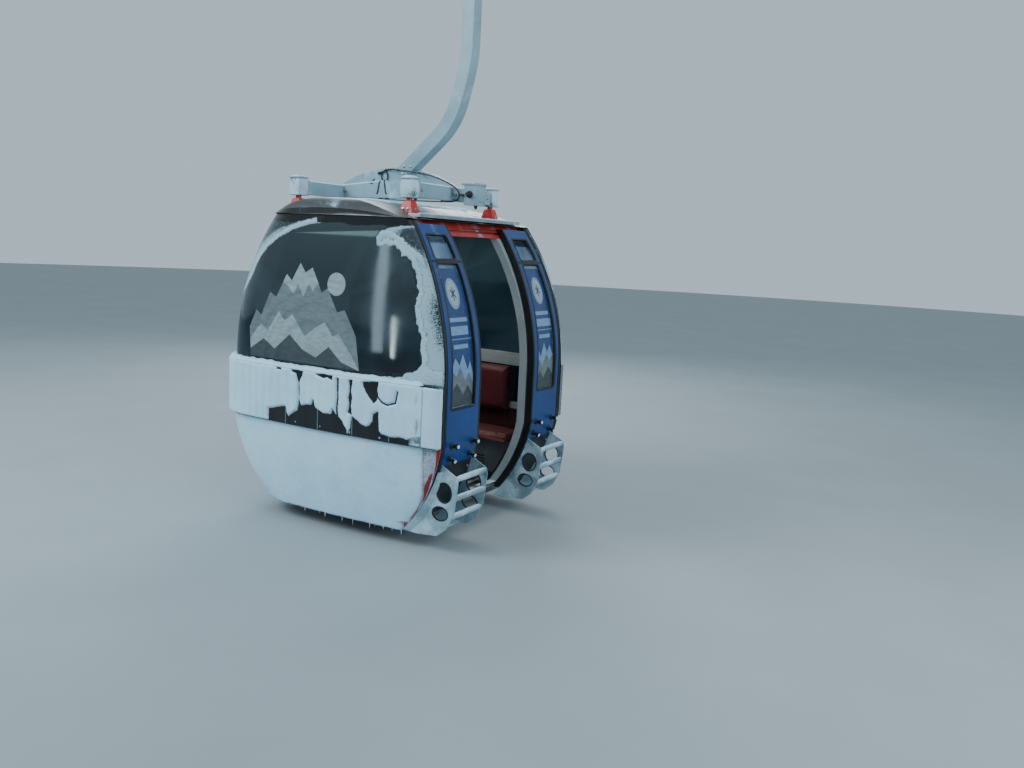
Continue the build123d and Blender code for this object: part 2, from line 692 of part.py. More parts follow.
def jaw():
    """The moving jaw with its lever and lever roller, closed on the rope."""
    px, pz = JAW_PIVOT
    lx, lz = LEVER_END
    rope = rod((0, -BIG, 0), (0, BIG, 0), ROPE_RADIUS)
    outer = px - 16
    pad = block(JAW_GAP, outer, -JAW_HALF, JAW_HALF, -JAW_BITE, JAW_TOP)
    neck = block(px - 24, outer, -JAW_HALF, JAW_HALF, pz, -JAW_BITE)
    hub = rod((px, -JAW_HALF, pz), (px, JAW_HALF, pz), JAW_HUB)
    outline = Polyline((outer, 0, pz + 14), (lx, 0, lz + 20), (lx, 0, lz - 20), (px + 4, 0, pz - 18), close=True)
    lever = Pos(0, -LEVER_WIDE / 2, 0) * slab(outline.edges(), (0, LEVER_WIDE, 0))
    bore = rod((px, -BIG, pz), (px, BIG, pz), AXLE_RADIUS + RUNNING)
    end = lx + ROLLER_WIDE + 2 * END_FLOAT
    stub = rod((lx, 0, lz), (end, 0, lz), ROLLER_AXLE)
    cap = rod((end, 0, lz), (end + AXLE_HEAD, 0, lz), 14)
    roller = Rot(0, 90, 0) * wheel(ROLLER_RADIUS, ROLLER_WIDE, ROLLER_AXLE)
    return {
        "moving_jaw": pad + neck + hub + lever - bore - rope + stub + cap,
        "lever_roller": Pos(lx + END_FLOAT + ROLLER_WIDE / 2, 0, lz) * roller,
    }


os.makedirs("parts", exist_ok=True)
dome = roof()
frame = suspension(dome)
panels = shell()
cabin = {"roof_shell": dome, **panels, **floor(), **door_side(dome, panels), **frame}
cabin.update(hanger(frame["cross_beam"]))
for name, piece in benches().items():
    cabin[f"{name}_rear"] = piece
    cabin[f"{name}_front"] = both(piece)
for name, piece in {**leaf(), "ski_rack": ski_rack()}.items():
    cabin[f"right_{name}"] = piece
    cabin[f"left_{name}"] = both(piece)
for name, piece in cabin.items():
    export_step(Pos(0, 0, -ROPE_HEIGHT) * piece, f"parts/{name}.step")
for name, piece in {**grip(), **jaw()}.items():
    export_step(piece, f"parts/{name}.step")
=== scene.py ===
# %% [markdown]
# # A snowed-in cable car cabin
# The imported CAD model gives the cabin, its hanger and its grip at their real size and place.
# This lesson gives them their looks: paint, smoked acrylic, rubber, snow, frost and the small
# fittings that a drawing leaves out. Lengths are in metres, and heights on the cabin are counted
# from the underside of its shell, as a person who measures it would do.

import functools
import json
import math
import random

import bmesh
import bpy
from mathutils import Matrix, Vector, noise
from mathutils.bvhtree import BVHTree


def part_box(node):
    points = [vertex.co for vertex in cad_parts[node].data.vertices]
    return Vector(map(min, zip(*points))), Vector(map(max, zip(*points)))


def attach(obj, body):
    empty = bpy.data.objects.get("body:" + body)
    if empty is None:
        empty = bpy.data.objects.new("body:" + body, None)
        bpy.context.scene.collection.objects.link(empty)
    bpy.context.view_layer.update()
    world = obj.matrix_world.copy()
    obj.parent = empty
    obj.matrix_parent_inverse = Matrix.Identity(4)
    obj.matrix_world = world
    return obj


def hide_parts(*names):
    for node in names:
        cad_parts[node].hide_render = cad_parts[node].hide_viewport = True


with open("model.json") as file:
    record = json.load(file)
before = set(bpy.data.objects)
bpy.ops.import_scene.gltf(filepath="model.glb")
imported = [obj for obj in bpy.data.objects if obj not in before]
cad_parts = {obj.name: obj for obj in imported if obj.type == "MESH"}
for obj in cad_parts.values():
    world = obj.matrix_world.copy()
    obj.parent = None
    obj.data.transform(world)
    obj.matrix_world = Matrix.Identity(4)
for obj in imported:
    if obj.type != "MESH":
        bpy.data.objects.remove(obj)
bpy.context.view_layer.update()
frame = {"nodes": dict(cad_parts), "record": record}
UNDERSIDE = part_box("lower_shell_front")[0].z
print(len(frame["nodes"]), "nodes, underside at", round(UNDERSIDE, 3))

# %% [markdown]
# ## Camera
# The photograph was taken from the near right corner at chest height. A lens of 31.6 mm on a
# 36 mm sensor, turned 30 degrees to the left, tipped 9 degrees down and rolled by 3, puts the
# cabin where the photograph has it, with the hanger running out of the top of the picture.

# %% The camera
CAMERA_PLACE = Vector((4.119, -5.246, 1.875 + UNDERSIDE))
CAMERA_LENS = 31.64
CAMERA_TURN = (30.41, -8.85, 2.92)

camera = bpy.data.objects.new("camera", bpy.data.cameras.new("camera"))
bpy.context.scene.collection.objects.link(camera)
camera.data.lens = CAMERA_LENS
turn, tip, roll = (math.radians(angle) for angle in CAMERA_TURN)
aim = Matrix.Rotation(turn, 4, "Z") @ Matrix.Rotation(math.pi / 2 + tip, 4, "X") @ Matrix.Rotation(roll,
                                                                                                   4, "Z")
camera.matrix_world = Matrix.Translation(CAMERA_PLACE) @ aim
bpy.context.scene.camera = camera
print("camera at", [round(x, 2) for x in CAMERA_PLACE])

# %% [markdown]
# ## Colours and nodes
# Paint cards give colours as sRGB hex values, while a shader works with linear light, so one
# function turns one into the other. Another adds a shader node with its settings and links.

# %% Colour and node helpers
def colour(code):
    """Linear red, green, blue and alpha of an sRGB hex value."""
    parts = [int(code[k:k + 2], 16) / 255 for k in (1, 3, 5)]
    return [p / 12.92 if p <= 0.04045 else ((p + 0.055) / 1.055) ** 2.4 for p in parts] + [1.0]


def add(tree, kind, inputs=(), **settings):
    """Adds a node. Inputs are values, or outputs of other nodes, by socket name or number."""
    made = tree.nodes.new("ShaderNode" + kind)
    for name, value in settings.items():
        setattr(made, name, value)
    for socket, value in dict(inputs).items():
        if isinstance(value, bpy.types.NodeSocket):
            tree.links.new(value, made.inputs[socket])
        else:
            made.inputs[socket].default_value = value
    return made


def begin(name, **sockets):
    """A new material with its own values set: the material, its node tree, shader and coordinates."""
    made = bpy.data.materials.new(name)
    made.use_nodes = True
    tree = made.node_tree
    shader = tree.nodes["Principled BSDF"]
    for socket, value in sockets.items():
        shader.inputs[socket.replace("_", " ")].default_value = value
    return made, tree, shader, add(tree, "TexCoord").outputs["Object"]


print("white is", [round(x, 2) for x in colour("#ffffff")])

# %% [markdown]
# ## What finishes share
# Every finish here is laid up as the real one is: a ground colour, other colours over it where a
# mask says so, a roughness that follows a mask, and fine relief. A mask is a cloud pattern whose
# grain is a real size in millimetres. Rime is one such mask, thicker where a surface looks up.

# %% Masks, layers and relief
EDGE_ROUND = 0.002
RIME = "#bcd6e3"


def blotches(tree, place, grain, start, end, detail=4.0, stretch=None):
    """0 to 1 where clouds with a grain in millimetres pass from start to end."""
    if stretch:
        place = add(tree, "Mapping", {"Vector": place, "Scale": stretch}).outputs["Vector"]
    cloud = add(tree, "TexNoise", {"Vector": place, "Scale": 1000 / grain, "Detail": detail})
    spread = {"Value": cloud.outputs["Fac"], "From Min": start, "From Max": end}
    return add(tree, "MapRange", spread).outputs["Result"]


def layers(tree, shader, ground, *coats):
    """Lays colours over a ground colour, each with its mask, and gives them to the shader."""
    tone = add(tree, "RGB").outputs[0]
    tone.default_value = colour(ground)
    for mask, over in coats:
        tone = add(tree, "Mix", {0: mask, 6: tone, 7: colour(over)}, data_type="RGBA").outputs[2]
    tree.links.new(tone, shader.inputs["Base Color"])


def relief(tree, shader, *heights):
    """Bumps in metres, from fine to coarse, with the node that rounds sharp edges under them."""
    normal = add(tree, "Bevel", {"Radius": EDGE_ROUND}, samples=4).outputs["Normal"]
    for height, depth in heights:
        bump = add(tree, "Bump", {"Height": height, "Distance": depth, "Normal": normal})
        normal = bump.outputs["Normal"]
    tree.links.new(normal, shader.inputs["Normal"])


def gloss(tree, shader, mask, low, high):
    """Lets the roughness run from low to high with a mask."""
    spread = {"Value": mask, "To Min": low, "To Max": high}
    tree.links.new(add(tree, "MapRange", spread).outputs["Result"], shader.inputs["Roughness"])


def frost(tree, place, cover, grain=5.0, cloud=160.0):
    """A mask of rime: cover is from 0 to 1, and it settles first where the surface looks up."""
    up = add(tree, "SeparateXYZ", {0: add(tree, "NewGeometry").outputs["Normal"]}).outputs["Z"]
    total = add(tree, "Math", {0: up, 1: 0.22}, operation="MULTIPLY").outputs[0]
    for size, share in ((cloud, 1.0), (grain, 0.7)):
        clouds = add(tree, "TexNoise", {"Vector": place, "Scale": 1000 / size, "Detail": 5.0}).outputs["Fac"]
        total = add(tree, "Math", {0: clouds, 1: share, 2: total}, operation="MULTIPLY_ADD").outputs[0]
    limit = 1.25 - 0.8 * cover
    spread = {"Value": total, "From Min": limit, "From Max": limit + 0.14}
    return add(tree, "MapRange", spread).outputs["Result"]


# %% [markdown]
# ## Paint
# The cabin's aluminium and steel is powder coated or enamelled. Such paint is a smooth plastic
# film: half gloss, with a faint orange peel of a few millimetres, fine dirt, and chips at edges.
# In a mountain station rime lies over all of it, most on what looks up.

# %% Painted metals
def paint(name, tone, shade, cover, roughness=0.34, peel=4.0, chipped=0.0, lining=None):
    """Stoved paint in a tone and its darker shade, with rime over it, chips if it is old, and a lining."""
    made, tree, shader, place = begin(name, IOR=1.5)
    rime = frost(tree, place, cover)
    coats = [(blotches(tree, place, 220, 0.35, 0.7), shade)]
    if lining:
        flat = add(tree, "VectorMath", {0: place, 1: (1, 1, 0)}, operation="MULTIPLY").outputs["Vector"]
        facing = add(tree, "VectorMath", {0: add(tree, "TexCoord").outputs["Normal"], 1: flat},
                     operation="DOT_PRODUCT").outputs["Value"]
        within = add(tree, "Math", {0: facing, 1: 0.0}, operation="LESS_THAN").outputs[0]
        rime = add(tree, "Math", {0: rime, 1: within}, operation="SUBTRACT", use_clamp=True).outputs[0]
        coats.append((within, lining))
    if chipped:
        edge = add(tree, "VectorMath", {
            0: add(tree, "Bevel", {"Radius": 0.004}, samples=4).outputs["Normal"],
            1: add(tree, "NewGeometry").outputs["Normal"],
        }, operation="DOT_PRODUCT").outputs["Value"]
        rubbed = add(tree, "MapRange", {"Value": edge, "From Min": 1.0, "From Max": 0.93}).outputs["Result"]
        knocks = blotches(tree, place, 14, 0.62 - chipped, 0.7 - chipped)
        chips = add(tree, "Math", {0: rubbed, 1: knocks}, operation="MULTIPLY").outputs[0]
        coats.append((chips, "#5d5a57"))
    layers(tree, shader, tone, *coats, (rime, RIME))
    specks = blotches(tree, place, 9, 0.6, 0.72, 6.0)
    dull = add(tree, "Math", {0: rime, 1: specks}, operation="MAXIMUM").outputs[0]
    gloss(tree, shader, dull, roughness, 0.75)
    relief(tree, shader, (blotches(tree, place, peel, 0.3, 0.7, 2.0), 0.00008), (rime, 0.0008))
    return made


red_gelcoat = paint("red_polyester_gelcoat", "#9a2429", "#761c22", 0.34, roughness=0.22, lining="#3f2226")
red_lintel = paint("red_powder_coat", "#b3352f", "#93281f", 0.22)
blue_leaf = paint("blue_powder_coat", "#15407c", "#10346a", 0.09, roughness=0.36)
grey_wall = paint("grey_powder_coat", "#9aa3a6", "#8a9396", 0.10)
red_bracket = paint("red_enamelled_steel", "#d2261c", "#b01c15", 0.24, roughness=0.28, chipped=0.12)
grey_carrier = paint("blue_grey_painted_steel", "#8fabb5", "#7a96a1", 0.36, chipped=0.04)
yellow_spring = paint("yellow_enamelled_steel", "#c99b1c", "#a87e16", 0.12, chipped=0.1)
print("paints made")

# %% [markdown]
# ## Smoked acrylic
# The windows are thermoformed acrylic sheet, tinted dark. It is clear plastic with an IOR of 1.49
# and a skin that mirrors the room. On the end windows rime has grown inwards from both sides to a
# sharp edge, and it thins out in grains towards the rim. Those two edges are drawn as curves of
# the height, so they are set in metres. Above, a black ceramic print hides the glued rim.

# %% Windows
FROST_RIGHT = (
    # height, across: the inner edge of the rime beside the doors
    (1.00, 0.71), (1.05, 0.78), (1.12, 0.875), (1.28, 0.86), (1.46, 0.805), (1.55, 0.82),
    (1.67, 0.79), (1.77, 0.71), (1.83, 0.60), (1.88, 0.50), (1.93, 0.54), (1.95, 0.64),
)
FROST_LEFT = (
    # height, across: the inner edge of the rime at the back corner
    (1.30, -1.00), (1.40, -0.86), (1.48, -0.71), (1.58, -0.625), (1.71, -0.545), (1.834, -0.385),
    (1.897, -0.253),
    (1.93, -0.12), (1.955, 0.02), (2.00, 0.09),
)
FADE = 0.16
PRINT_LOW = 1.945
CURVE_REACH = 1.1


def across_at(tree, height, points):
    """A curve node that turns a height into a distance across; both are scaled into 0 to 1 and back."""
    share = add(tree, "MapRange",
                {"Value": height, "From Min": UNDERSIDE, "From Max": UNDERSIDE + 2}).outputs[0]
    bend = add(tree, "FloatCurve", {"Value": share})
    line = bend.mapping.curves[0]
    places = [(z / 2, (x + CURVE_REACH) / (2 * CURVE_REACH)) for z, x in points]
    line.points[0].location = (0.0, places[0][1])
    line.points[-1].location = (1.0, places[-1][1])
    for spot in places:
        line.points.new(*spot)
    bend.mapping.update()
    spread = {"Value": bend.outputs["Value"], "To Min": -CURVE_REACH, "To Max": CURVE_REACH}
    return add(tree, "MapRange", spread).outputs["Result"]


def acrylic(name, tint, haze_tone, haze, rimed=False, ribs=0.0):
    """Tinted acrylic. Haze is how milky it has gone; rimed adds the rime and print of an end window."""
    made, tree, shader, place = begin(name, IOR=1.49, Transmission_Weight=1.0)
    spot = add(tree, "SeparateXYZ", {0: place})
    veil = blotches(tree, place, 420, 0.25, 0.85, 3.0)
    milky = add(tree, "Math", {0: veil, 1: haze}, operation="MULTIPLY").outputs[0]
    coats = [(milky, haze_tone)]
    opaque = milky
    if rimed:
        rise = {"Value": spot.outputs["Z"], "From Min": UNDERSIDE + 1.2, "From Max": UNDERSIDE + 1.95}
        breath = add(tree, "MapRange", {**rise, "To Max": 0.42}).outputs["Result"]
        coats.append((breath, "#4f5f60"))
        grain = blotches(tree, place, 5, 0.32, 0.68, 6.0)
        low = {"Value": spot.outputs["Z"], "From Min": UNDERSIDE + 1.05, "From Max": UNDERSIDE + 1.25}
        wide = add(tree, "MapRange", {**low, "To Min": 0.5, "To Max": FADE}).outputs["Result"]
        ragged = add(tree, "MapRange", {"Value": blotches(tree, place, 30, 0.3, 0.7), "To Min": -0.008,
                                        "To Max": 0.008})
        ragged, rimes = ragged.outputs["Result"], []
        for points, way in ((FROST_RIGHT, 1), (FROST_LEFT, -1)):
            edge = across_at(tree, spot.outputs["Z"], points)
            past = add(tree, "Math", {0: spot.outputs["X"], 1: edge}, operation="SUBTRACT").outputs[0]
            past = add(tree, "Math", {0: past, 1: way, 2: ragged}, operation="MULTIPLY_ADD").outputs[0]
            thin = add(tree, "MapRange", {"Value": past, "From Max": wide, "To Min": 0.85, "To Max": 0.14})
            inside = add(tree, "MapRange", {"Value": past, "From Min": -0.003, "From Max": 0.003})
            share = add(tree, "Math", {0: thin.outputs[0], 1: inside.outputs[0]},
                        operation="MULTIPLY").outputs[0]
            total = add(tree, "Math", {0: grain, 1: 0.6, 2: share}, operation="MULTIPLY_ADD").outputs[0]
            rime = add(tree, "MapRange",
                       {"Value": total, "From Min": 0.62, "From Max": 0.74}).outputs["Result"]
            coats.append((rime, "#9db8c3"))
            opaque = add(tree, "Math", {0: opaque, 1: rime}, operation="MAXIMUM").outputs[0]
            rimes.append(rime)
        drip = add(tree, "Math", {0: blotches(tree, place, 90, 0.0, 1.0), 1: 0.05, 2: spot.outputs["Z"]},
                   operation="MULTIPLY_ADD").outputs[0]
        low = UNDERSIDE + PRINT_LOW + 0.025
        band = add(tree, "MapRange",
                   {"Value": drip, "From Min": low, "From Max": low + 0.004}).outputs["Result"]
        coats.append((band, "#07090a"))
        opaque = add(tree, "Math", {0: opaque, 1: band}, operation="MAXIMUM").outputs[0]
        opaque = add(tree, "Math", {0: opaque, 1: breath}, operation="MAXIMUM").outputs[0]
        gloss(tree, shader, milky, 0.03, 0.16)
        both = add(tree, "Math", {0: rimes[0], 1: rimes[1]}, operation="MAXIMUM").outputs[0]
        relief(tree, shader, (both, 0.0006))
    else:
        gloss(tree, shader, milky, 0.03, 0.6)
    if ribs:
        reach = {"Value": spot.outputs["X"], "From Min": 0.955, "From Max": 1.005}
        near = add(tree, "MapRange", reach).outputs["Result"]
        film = add(tree, "Math", {0: near, 1: blotches(tree, place, 7, 0.2, 0.6, 5.0)},
                   operation="MULTIPLY").outputs[0]
        coats.append((film, "#8b949e"))
        opaque = add(tree, "Math", {0: opaque, 1: film}, operation="MAXIMUM").outputs[0]
        bands = add(tree, "TexWave", {"Vector": place, "Scale": 1 / ribs / (2 * math.pi)},
                    wave_type="BANDS", bands_direction="X", wave_profile="SIN").outputs["Fac"]
        relief(tree, shader, (bands, 0.002))
    layers(tree, shader, tint, *coats)
    clear = add(tree, "MapRange", {"Value": opaque, "To Min": 1.0, "To Max": 0.0}).outputs["Result"]
    tree.links.new(clear, shader.inputs["Transmission Weight"])
    return made


end_acrylic = acrylic("smoked_acrylic_with_rime", "#2a3f4a", "#4d6a78", 0.55, rimed=True)
smoked = acrylic("smoked_acrylic", "#2c3c40", "#6b7f86", 0.32)
belt_acrylic = acrylic("dark_acrylic", "#10171a", "#27333a", 0.35, ribs=0.075)
door_acrylic = acrylic("blue_tinted_acrylic", "#6f9cc4", "#a9c4dc", 0.75)
print("windows made")

# %% [markdown]
# ## Rubber and plastics
# Seals and corner profiles are extruded EPDM, a matt black rubber that greys as rime sticks to it.
# The bench bodies are grained ABS, the roof a gel-coated polyester moulding, and the tyres cast
# polyurethane. All are dielectrics, told apart by their roughness and grain.

# %% Rubber and plastic finishes
def moulded(name, tone, shade, roughness, grain, depth, cover, ior=1.5):
    """A moulded plastic or rubber with a grain in millimetres and some rime."""
    made, tree, shader, place = begin(name, IOR=ior)
    rime = frost(tree, place, cover)
    layers(tree, shader, tone, (blotches(tree, place, 90, 0.35, 0.75), shade), (rime, RIME))
    gloss(tree, shader, rime, roughness, 0.8)
    relief(tree, shader, (blotches(tree, place, grain, 0.35, 0.65, 2.0), depth), (rime, 0.0006))
    return made


epdm = moulded("extruded_epdm_rubber", "#0f1011", "#1b1d1e", 0.42, 2.5, 0.0001, 0.12, ior=1.52)
roof_gelcoat = moulded("dark_polyester_gelcoat", "#393a3b", "#2d2e31", 0.38, 6.0, 0.0001, 0.12)
grained_abs = moulded("grained_abs", "#5f6468", "#53585c", 0.5, 1.5, 0.00015, 0.0)
polyurethane = moulded("cast_polyurethane", "#23211f", "#2f2c29", 0.45, 3.0, 0.0001, 0.0)
mount_rubber = moulded("natural_rubber_mount", "#1b1c1d", "#2a2b2c", 0.6, 3.0, 0.0001, 0.72)
cable_pvc = moulded("pvc_cable_sheath", "#101112", "#191a1b", 0.4, 5.0, 0.00005, 0.1)
window_print = moulded("black_ceramic_print", "#08090a", "#0d0e10", 0.12, 6.0, 0.00003, 0.05)
joint_sealant = moulded("grey_silicone_sealant", "#5f7a80", "#4d666c", 0.4, 4.0, 0.00005, 0.2)
black_nylon = moulded("glass_filled_nylon", "#191a1b", "#242627", 0.48, 1.2, 0.0001, 0.05)

MAT_RIB = 0.012
ribbed_mat, mat_tree, mat_shader, mat_place = begin("ribbed_rubber_mat", IOR=1.52)
ribs = add(mat_tree, "TexWave", {"Vector": mat_place, "Scale": 1 / MAT_RIB / (2 * math.pi)},
           wave_type="BANDS", bands_direction="Y", wave_profile="SIN").outputs["Fac"]
layers(mat_tree, mat_shader, "#1d1e1f", (blotches(mat_tree, mat_place, 140, 0.45, 0.8), "#4a4d4e"))
gloss(mat_tree, mat_shader, ribs, 0.75, 0.5)
relief(mat_tree, mat_shader, (ribs, 0.002))
print("rubber and plastics made")

# %% [markdown]
# ## Bare metals
# Rails and the sill are extruded aluminium with fine lines along their length, the rack is
# galvanised steel with its pale spangle, the grip cast and zinc plated. A metal has no IOR of its
# own here: its colour is its reflection, so it needs Metallic at one and a fitting roughness.

# %% Metals
def metal(name, tone, shade, low, high, grain, stretch, cover, depth=0.00006, metallic=1.0):
    """Bare metal whose grain in millimetres is drawn out by stretch, dulled in blotches."""
    made, tree, shader, place = begin(name, Metallic=metallic)
    rime = frost(tree, place, cover)
    lines = blotches(tree, place, grain, 0.3, 0.7, 3.0, stretch)
    clouds = blotches(tree, place, 130, 0.35, 0.7)
    layers(tree, shader, tone, (clouds, shade), (rime, RIME))
    bare = add(tree, "MapRange", {"Value": rime, "To Min": metallic, "To Max": 0.0}).outputs["Result"]
    tree.links.new(bare, shader.inputs["Metallic"])
    drawn = add(tree, "Math", {0: lines, 1: clouds}, operation="MULTIPLY").outputs[0]
    dull = add(tree, "Math", {0: drawn, 1: rime}, operation="MAXIMUM").outputs[0]
    gloss(tree, shader, dull, low, high)
    relief(tree, shader, (lines, depth), (rime, 0.0006))
    return made


drawn_aluminium = metal("extruded_aluminium", "#b9bec1", "#9da3a7", 0.28, 0.6, 3.0, (6, 0.15, 6), 0.30)
floor_aluminium = metal("aluminium_sheet", "#8d9295", "#767b7e", 0.35, 0.65, 4.0, (0.2, 5, 5), 0.30)
galvanised = metal("galvanised_steel", "#a3bec7", "#8ca7b4", 0.38, 0.7, 22.0, (1, 1, 1), 0.56, 0.0002, 0.7)
cast_steel = metal("zinc_plated_cast_steel", "#74787a", "#5a5d5f", 0.35, 0.65, 3.0, (1, 1, 1), 0.18, 0.0003)
bright_steel = metal("bright_zinc_steel", "#b4b8ba", "#8f9496", 0.22, 0.5, 2.0, (1, 1, 1), 0.22)
print("metals made")

# %% [markdown]
# ## Snow and ice
# Driven snow packs on the windward end as a smooth crust and hangs from edges. It is white, but
# under a dull sky it reads as a cold blue-grey. Light goes a few millimetres into it, which a
# little subsurface scattering gives, and its skin is rough with crystals of one to four
# millimetres. Icicles are clear ice, with an IOR of 1.31.

# %% Snow and ice
def snowy(name, below, tone, shade, painted_glint, thin, crystal, rise):
    """Snow or rime on a ground colour that shows where a layer's depth attribute is under thin."""
    made, tree, shader, place = begin(
        name, Roughness=0.62, IOR=1.31, Subsurface_Weight=0.2, Subsurface_Scale=0.005)
    shader.inputs["Subsurface Radius"].default_value = (0.6, 0.85, 1.0)
    grains = blotches(tree, place, crystal, 0.3, 0.7, 4.0)
    clods = blotches(tree, place, 24, 0.3, 0.75, 4.0)
    # Darker clouds of about 260 mm are painted shade, standing in for soft shading over the snow.
    painted_shade_clouds = blotches(tree, place, 260, 0.3, 0.75, 3.0)
    depth = add(tree, "Attribute", attribute_name="depth").outputs["Fac"]
    deep = add(tree, "MapRange", {"Value": depth, "From Max": thin}).outputs["Result"]
    shown = add(tree, "Math", {0: grains, 1: 0.7, 2: deep}, operation="MULTIPLY_ADD").outputs[0]
    cover = add(tree, "MapRange", {"Value": shown, "From Min": 0.35, "From Max": 0.95}).outputs["Result"]
    shaded = add(tree, "Math", {0: painted_shade_clouds, 1: cover}, operation="MULTIPLY").outputs[0]
    # Paler clumps of about 24 mm are painted glints, standing in for the sparkle of the snow.
    pale = add(tree, "Math", {0: clods, 1: 0.3}, operation="MULTIPLY").outputs[0]
    layers(tree, shader, below, (cover, tone), (shaded, shade), (pale, painted_glint))
    relief(tree, shader, (grains, rise), (clods, 0.0006))
    return made


snow = snowy("wind_packed_snow", "#b9ddf0", "#bfe3f6", "#a9d2e8", "#d6effa", 0.001, 3, 0.0003)
# The dark red ground, seen where the snow thins by the doors, is partly painted shade of a rounded corner.
snow_on_red = snowy("wind_packed_snow_on_red", "#743846", "#bfe3f6", "#a9d2e8", "#d6effa", 0.0085, 4, 0.0003)
snow_on_dark = snowy("wind_packed_snow_on_glass", "#675f6a", "#bfe3f6", "#a9d2e8", "#d6effa", 0.005, 4,
                     0.0003)
rime_on_glass = snowy("granular_rime", "#4c6068", "#a9c8d6", "#96b6c5", "#c6e0eb", 0.0028, 5, 0.0009)

ice, ice_tree, ice_shader, ice_place = begin("clear_ice", Roughness=0.12, IOR=1.31, Transmission_Weight=0.35)
layers(ice_tree, ice_shader, "#d5e6ee", (blotches(ice_tree, ice_place, 12, 0.4, 0.7), "#f2f8fb"))
relief(ice_tree, ice_shader, (blotches(ice_tree, ice_place, 8, 0.3, 0.7), 0.0006))
print("snow and ice made")

# %% [markdown]
# ## Seat covers
# Ropeway seats have padded covers in dark red artificial leather: PVC with an embossed grain of
# about 2 mm and a low sheen.

# %% Seat covers
seat_vinyl, seat_tree, seat_shader, seat_place = begin("embossed_pvc_leather", IOR=1.53, Sheen_Weight=0.08)
cells = add(seat_tree, "TexVoronoi", {"Vector": seat_place, "Scale": 1000 / 2.4}, feature="DISTANCE_TO_EDGE")
pores = add(seat_tree, "MapRange", {"Value": cells.outputs["Distance"], "From Max": 0.3}).outputs["Result"]
layers(seat_tree, seat_shader, "#4d1019", (blotches(seat_tree, seat_place, 120, 0.4, 0.75), "#5e1721"))
gloss(seat_tree, seat_shader, pores, 0.62, 0.42)
relief(seat_tree, seat_shader, (pores, 0.0003))
print("seat covers made")

# %% [markdown]
# ## Prints and films
# Cabins carry self-adhesive vinyl. On glass it is perforated: a silver-grey print full of small
# holes that lets riders look out. The door film is plain cast vinyl. The holes are really 1.6 mm
# apart by 2.5, drawn here at 5 mm so that they show.

# %% Vinyl
DOT_PITCH = 0.005


def vinyl(name, tone, shade, roughness, dots=0.0):
    """Printed vinyl with soft clouds of a second tone, and dark holes where it is perforated."""
    made, tree, shader, place = begin(name, IOR=1.5, Coat_Weight=0.25, Coat_Roughness=0.2)
    coats = [(blotches(tree, place, 60, 0.3, 0.7, 5.0, (1, 1, 3)), shade)]
    if dots:
        cell = add(tree, "TexVoronoi", {"Vector": place, "Scale": 1 / DOT_PITCH, "Randomness": 0.0})
        hole = add(tree, "MapRange", {"Value": cell.outputs["Distance"], "From Min": dots,
                                      "From Max": dots - 0.06})
        coats.append((hole.outputs["Result"], "#1b2122"))
    layers(tree, shader, tone, *coats)
    gloss(tree, shader, blotches(tree, place, 200, 0.3, 0.7), roughness, roughness + 0.2)
    relief(tree, shader, (blotches(tree, place, 30, 0.3, 0.7), 0.0001))
    return made


print_light = vinyl("silver_vinyl_print_light", "#98a5aa", "#7d8b91", 0.3, dots=0.22)
print_mid = vinyl("silver_vinyl_print_mid", "#6c787b", "#586468", 0.3, dots=0.26)
print_dark = vinyl("silver_vinyl_print_dark", "#3c464a", "#2d3639", 0.3, dots=0.3)
navy_film = vinyl("navy_vinyl_film", "#142f5e", "#1d3f72", 0.32)
white_film = vinyl("white_vinyl_film", "#a0adb1", "#8b999f", 0.35)
pale_blue_film = vinyl("pale_blue_vinyl_film", "#7796ba", "#6685ab", 0.35)
print("vinyl made")

# %% [markdown]
# ## Finishes on the CAD nodes
# Each node names its material slot in the record, so the finishes go on by slot, in one loop. The
# end windows are the exception: they carry rime and the black print.

# %% The finish of each slot
FINISH = {
    "roof_plastic": roof_gelcoat,
    "smoked_window": smoked,
    "belt_glass": belt_acrylic,
    "shell_paint": red_gelcoat,
    "door_paint": blue_leaf,
    "door_glass": door_acrylic,
    "portal_paint": red_lintel,
    "wall_paint": grey_wall,
    "black_rubber": epdm,
    "rack_metal": galvanised,
    "rail_metal": drawn_aluminium,
    "floor_metal": floor_aluminium,
    "mat_rubber": ribbed_mat,
    "bench_plastic": grained_abs,
    "seat_fabric": seat_vinyl,
    "bracket_paint": red_bracket,
    "damper_rubber": mount_rubber,
    "carrier_paint": grey_carrier,
    "grip_steel": cast_steel,
    "spring_paint": yellow_spring,
    "tyre_plastic": polyurethane,
}
for part in frame["record"]["subparts"]:
    frame["nodes"][part["node"]].material_slots[0].material = FINISH[part["material_slot"]]
for name in ("window_front", "window_rear"):
    frame["nodes"][name].material_slots[0].material = end_acrylic

# %% [markdown]
# ## Making pieces
# Every piece starts as a bmesh. These helpers add a rounded box, a rod, a turned shape or a swept
# section to one, and the last turns the bmesh into an object that rides on a body of the model.
# Its place stays in its mesh, so patterns on object coordinates keep their size and direction.

# %% Mesh helpers
WELD = 1e-6
SMOOTH_BELOW = 35


def at(x, y, height):
    """A point on the cabin, whose height is counted from the cabin's underside."""
    return Vector((x, y, UNDERSIDE + height))


def block(made, low, high, round_by=0.0, segments=2):
    """Adds a box between two corners, its edges rounded by a bevel."""
    low, high = Vector(low), Vector(high)
    place = Matrix.Translation((low + high) / 2) @ Matrix.Diagonal((*(high - low), 1))
    corners = set(bmesh.ops.create_cube(made, size=1, matrix=place)["verts"])
    if round_by:
        edges = [edge for edge in made.edges if edge.verts[0] in corners]
        bmesh.ops.bevel(made, geom=edges, offset=round_by, segments=segments,
                        affect="EDGES", profile=0.5, material=-1)


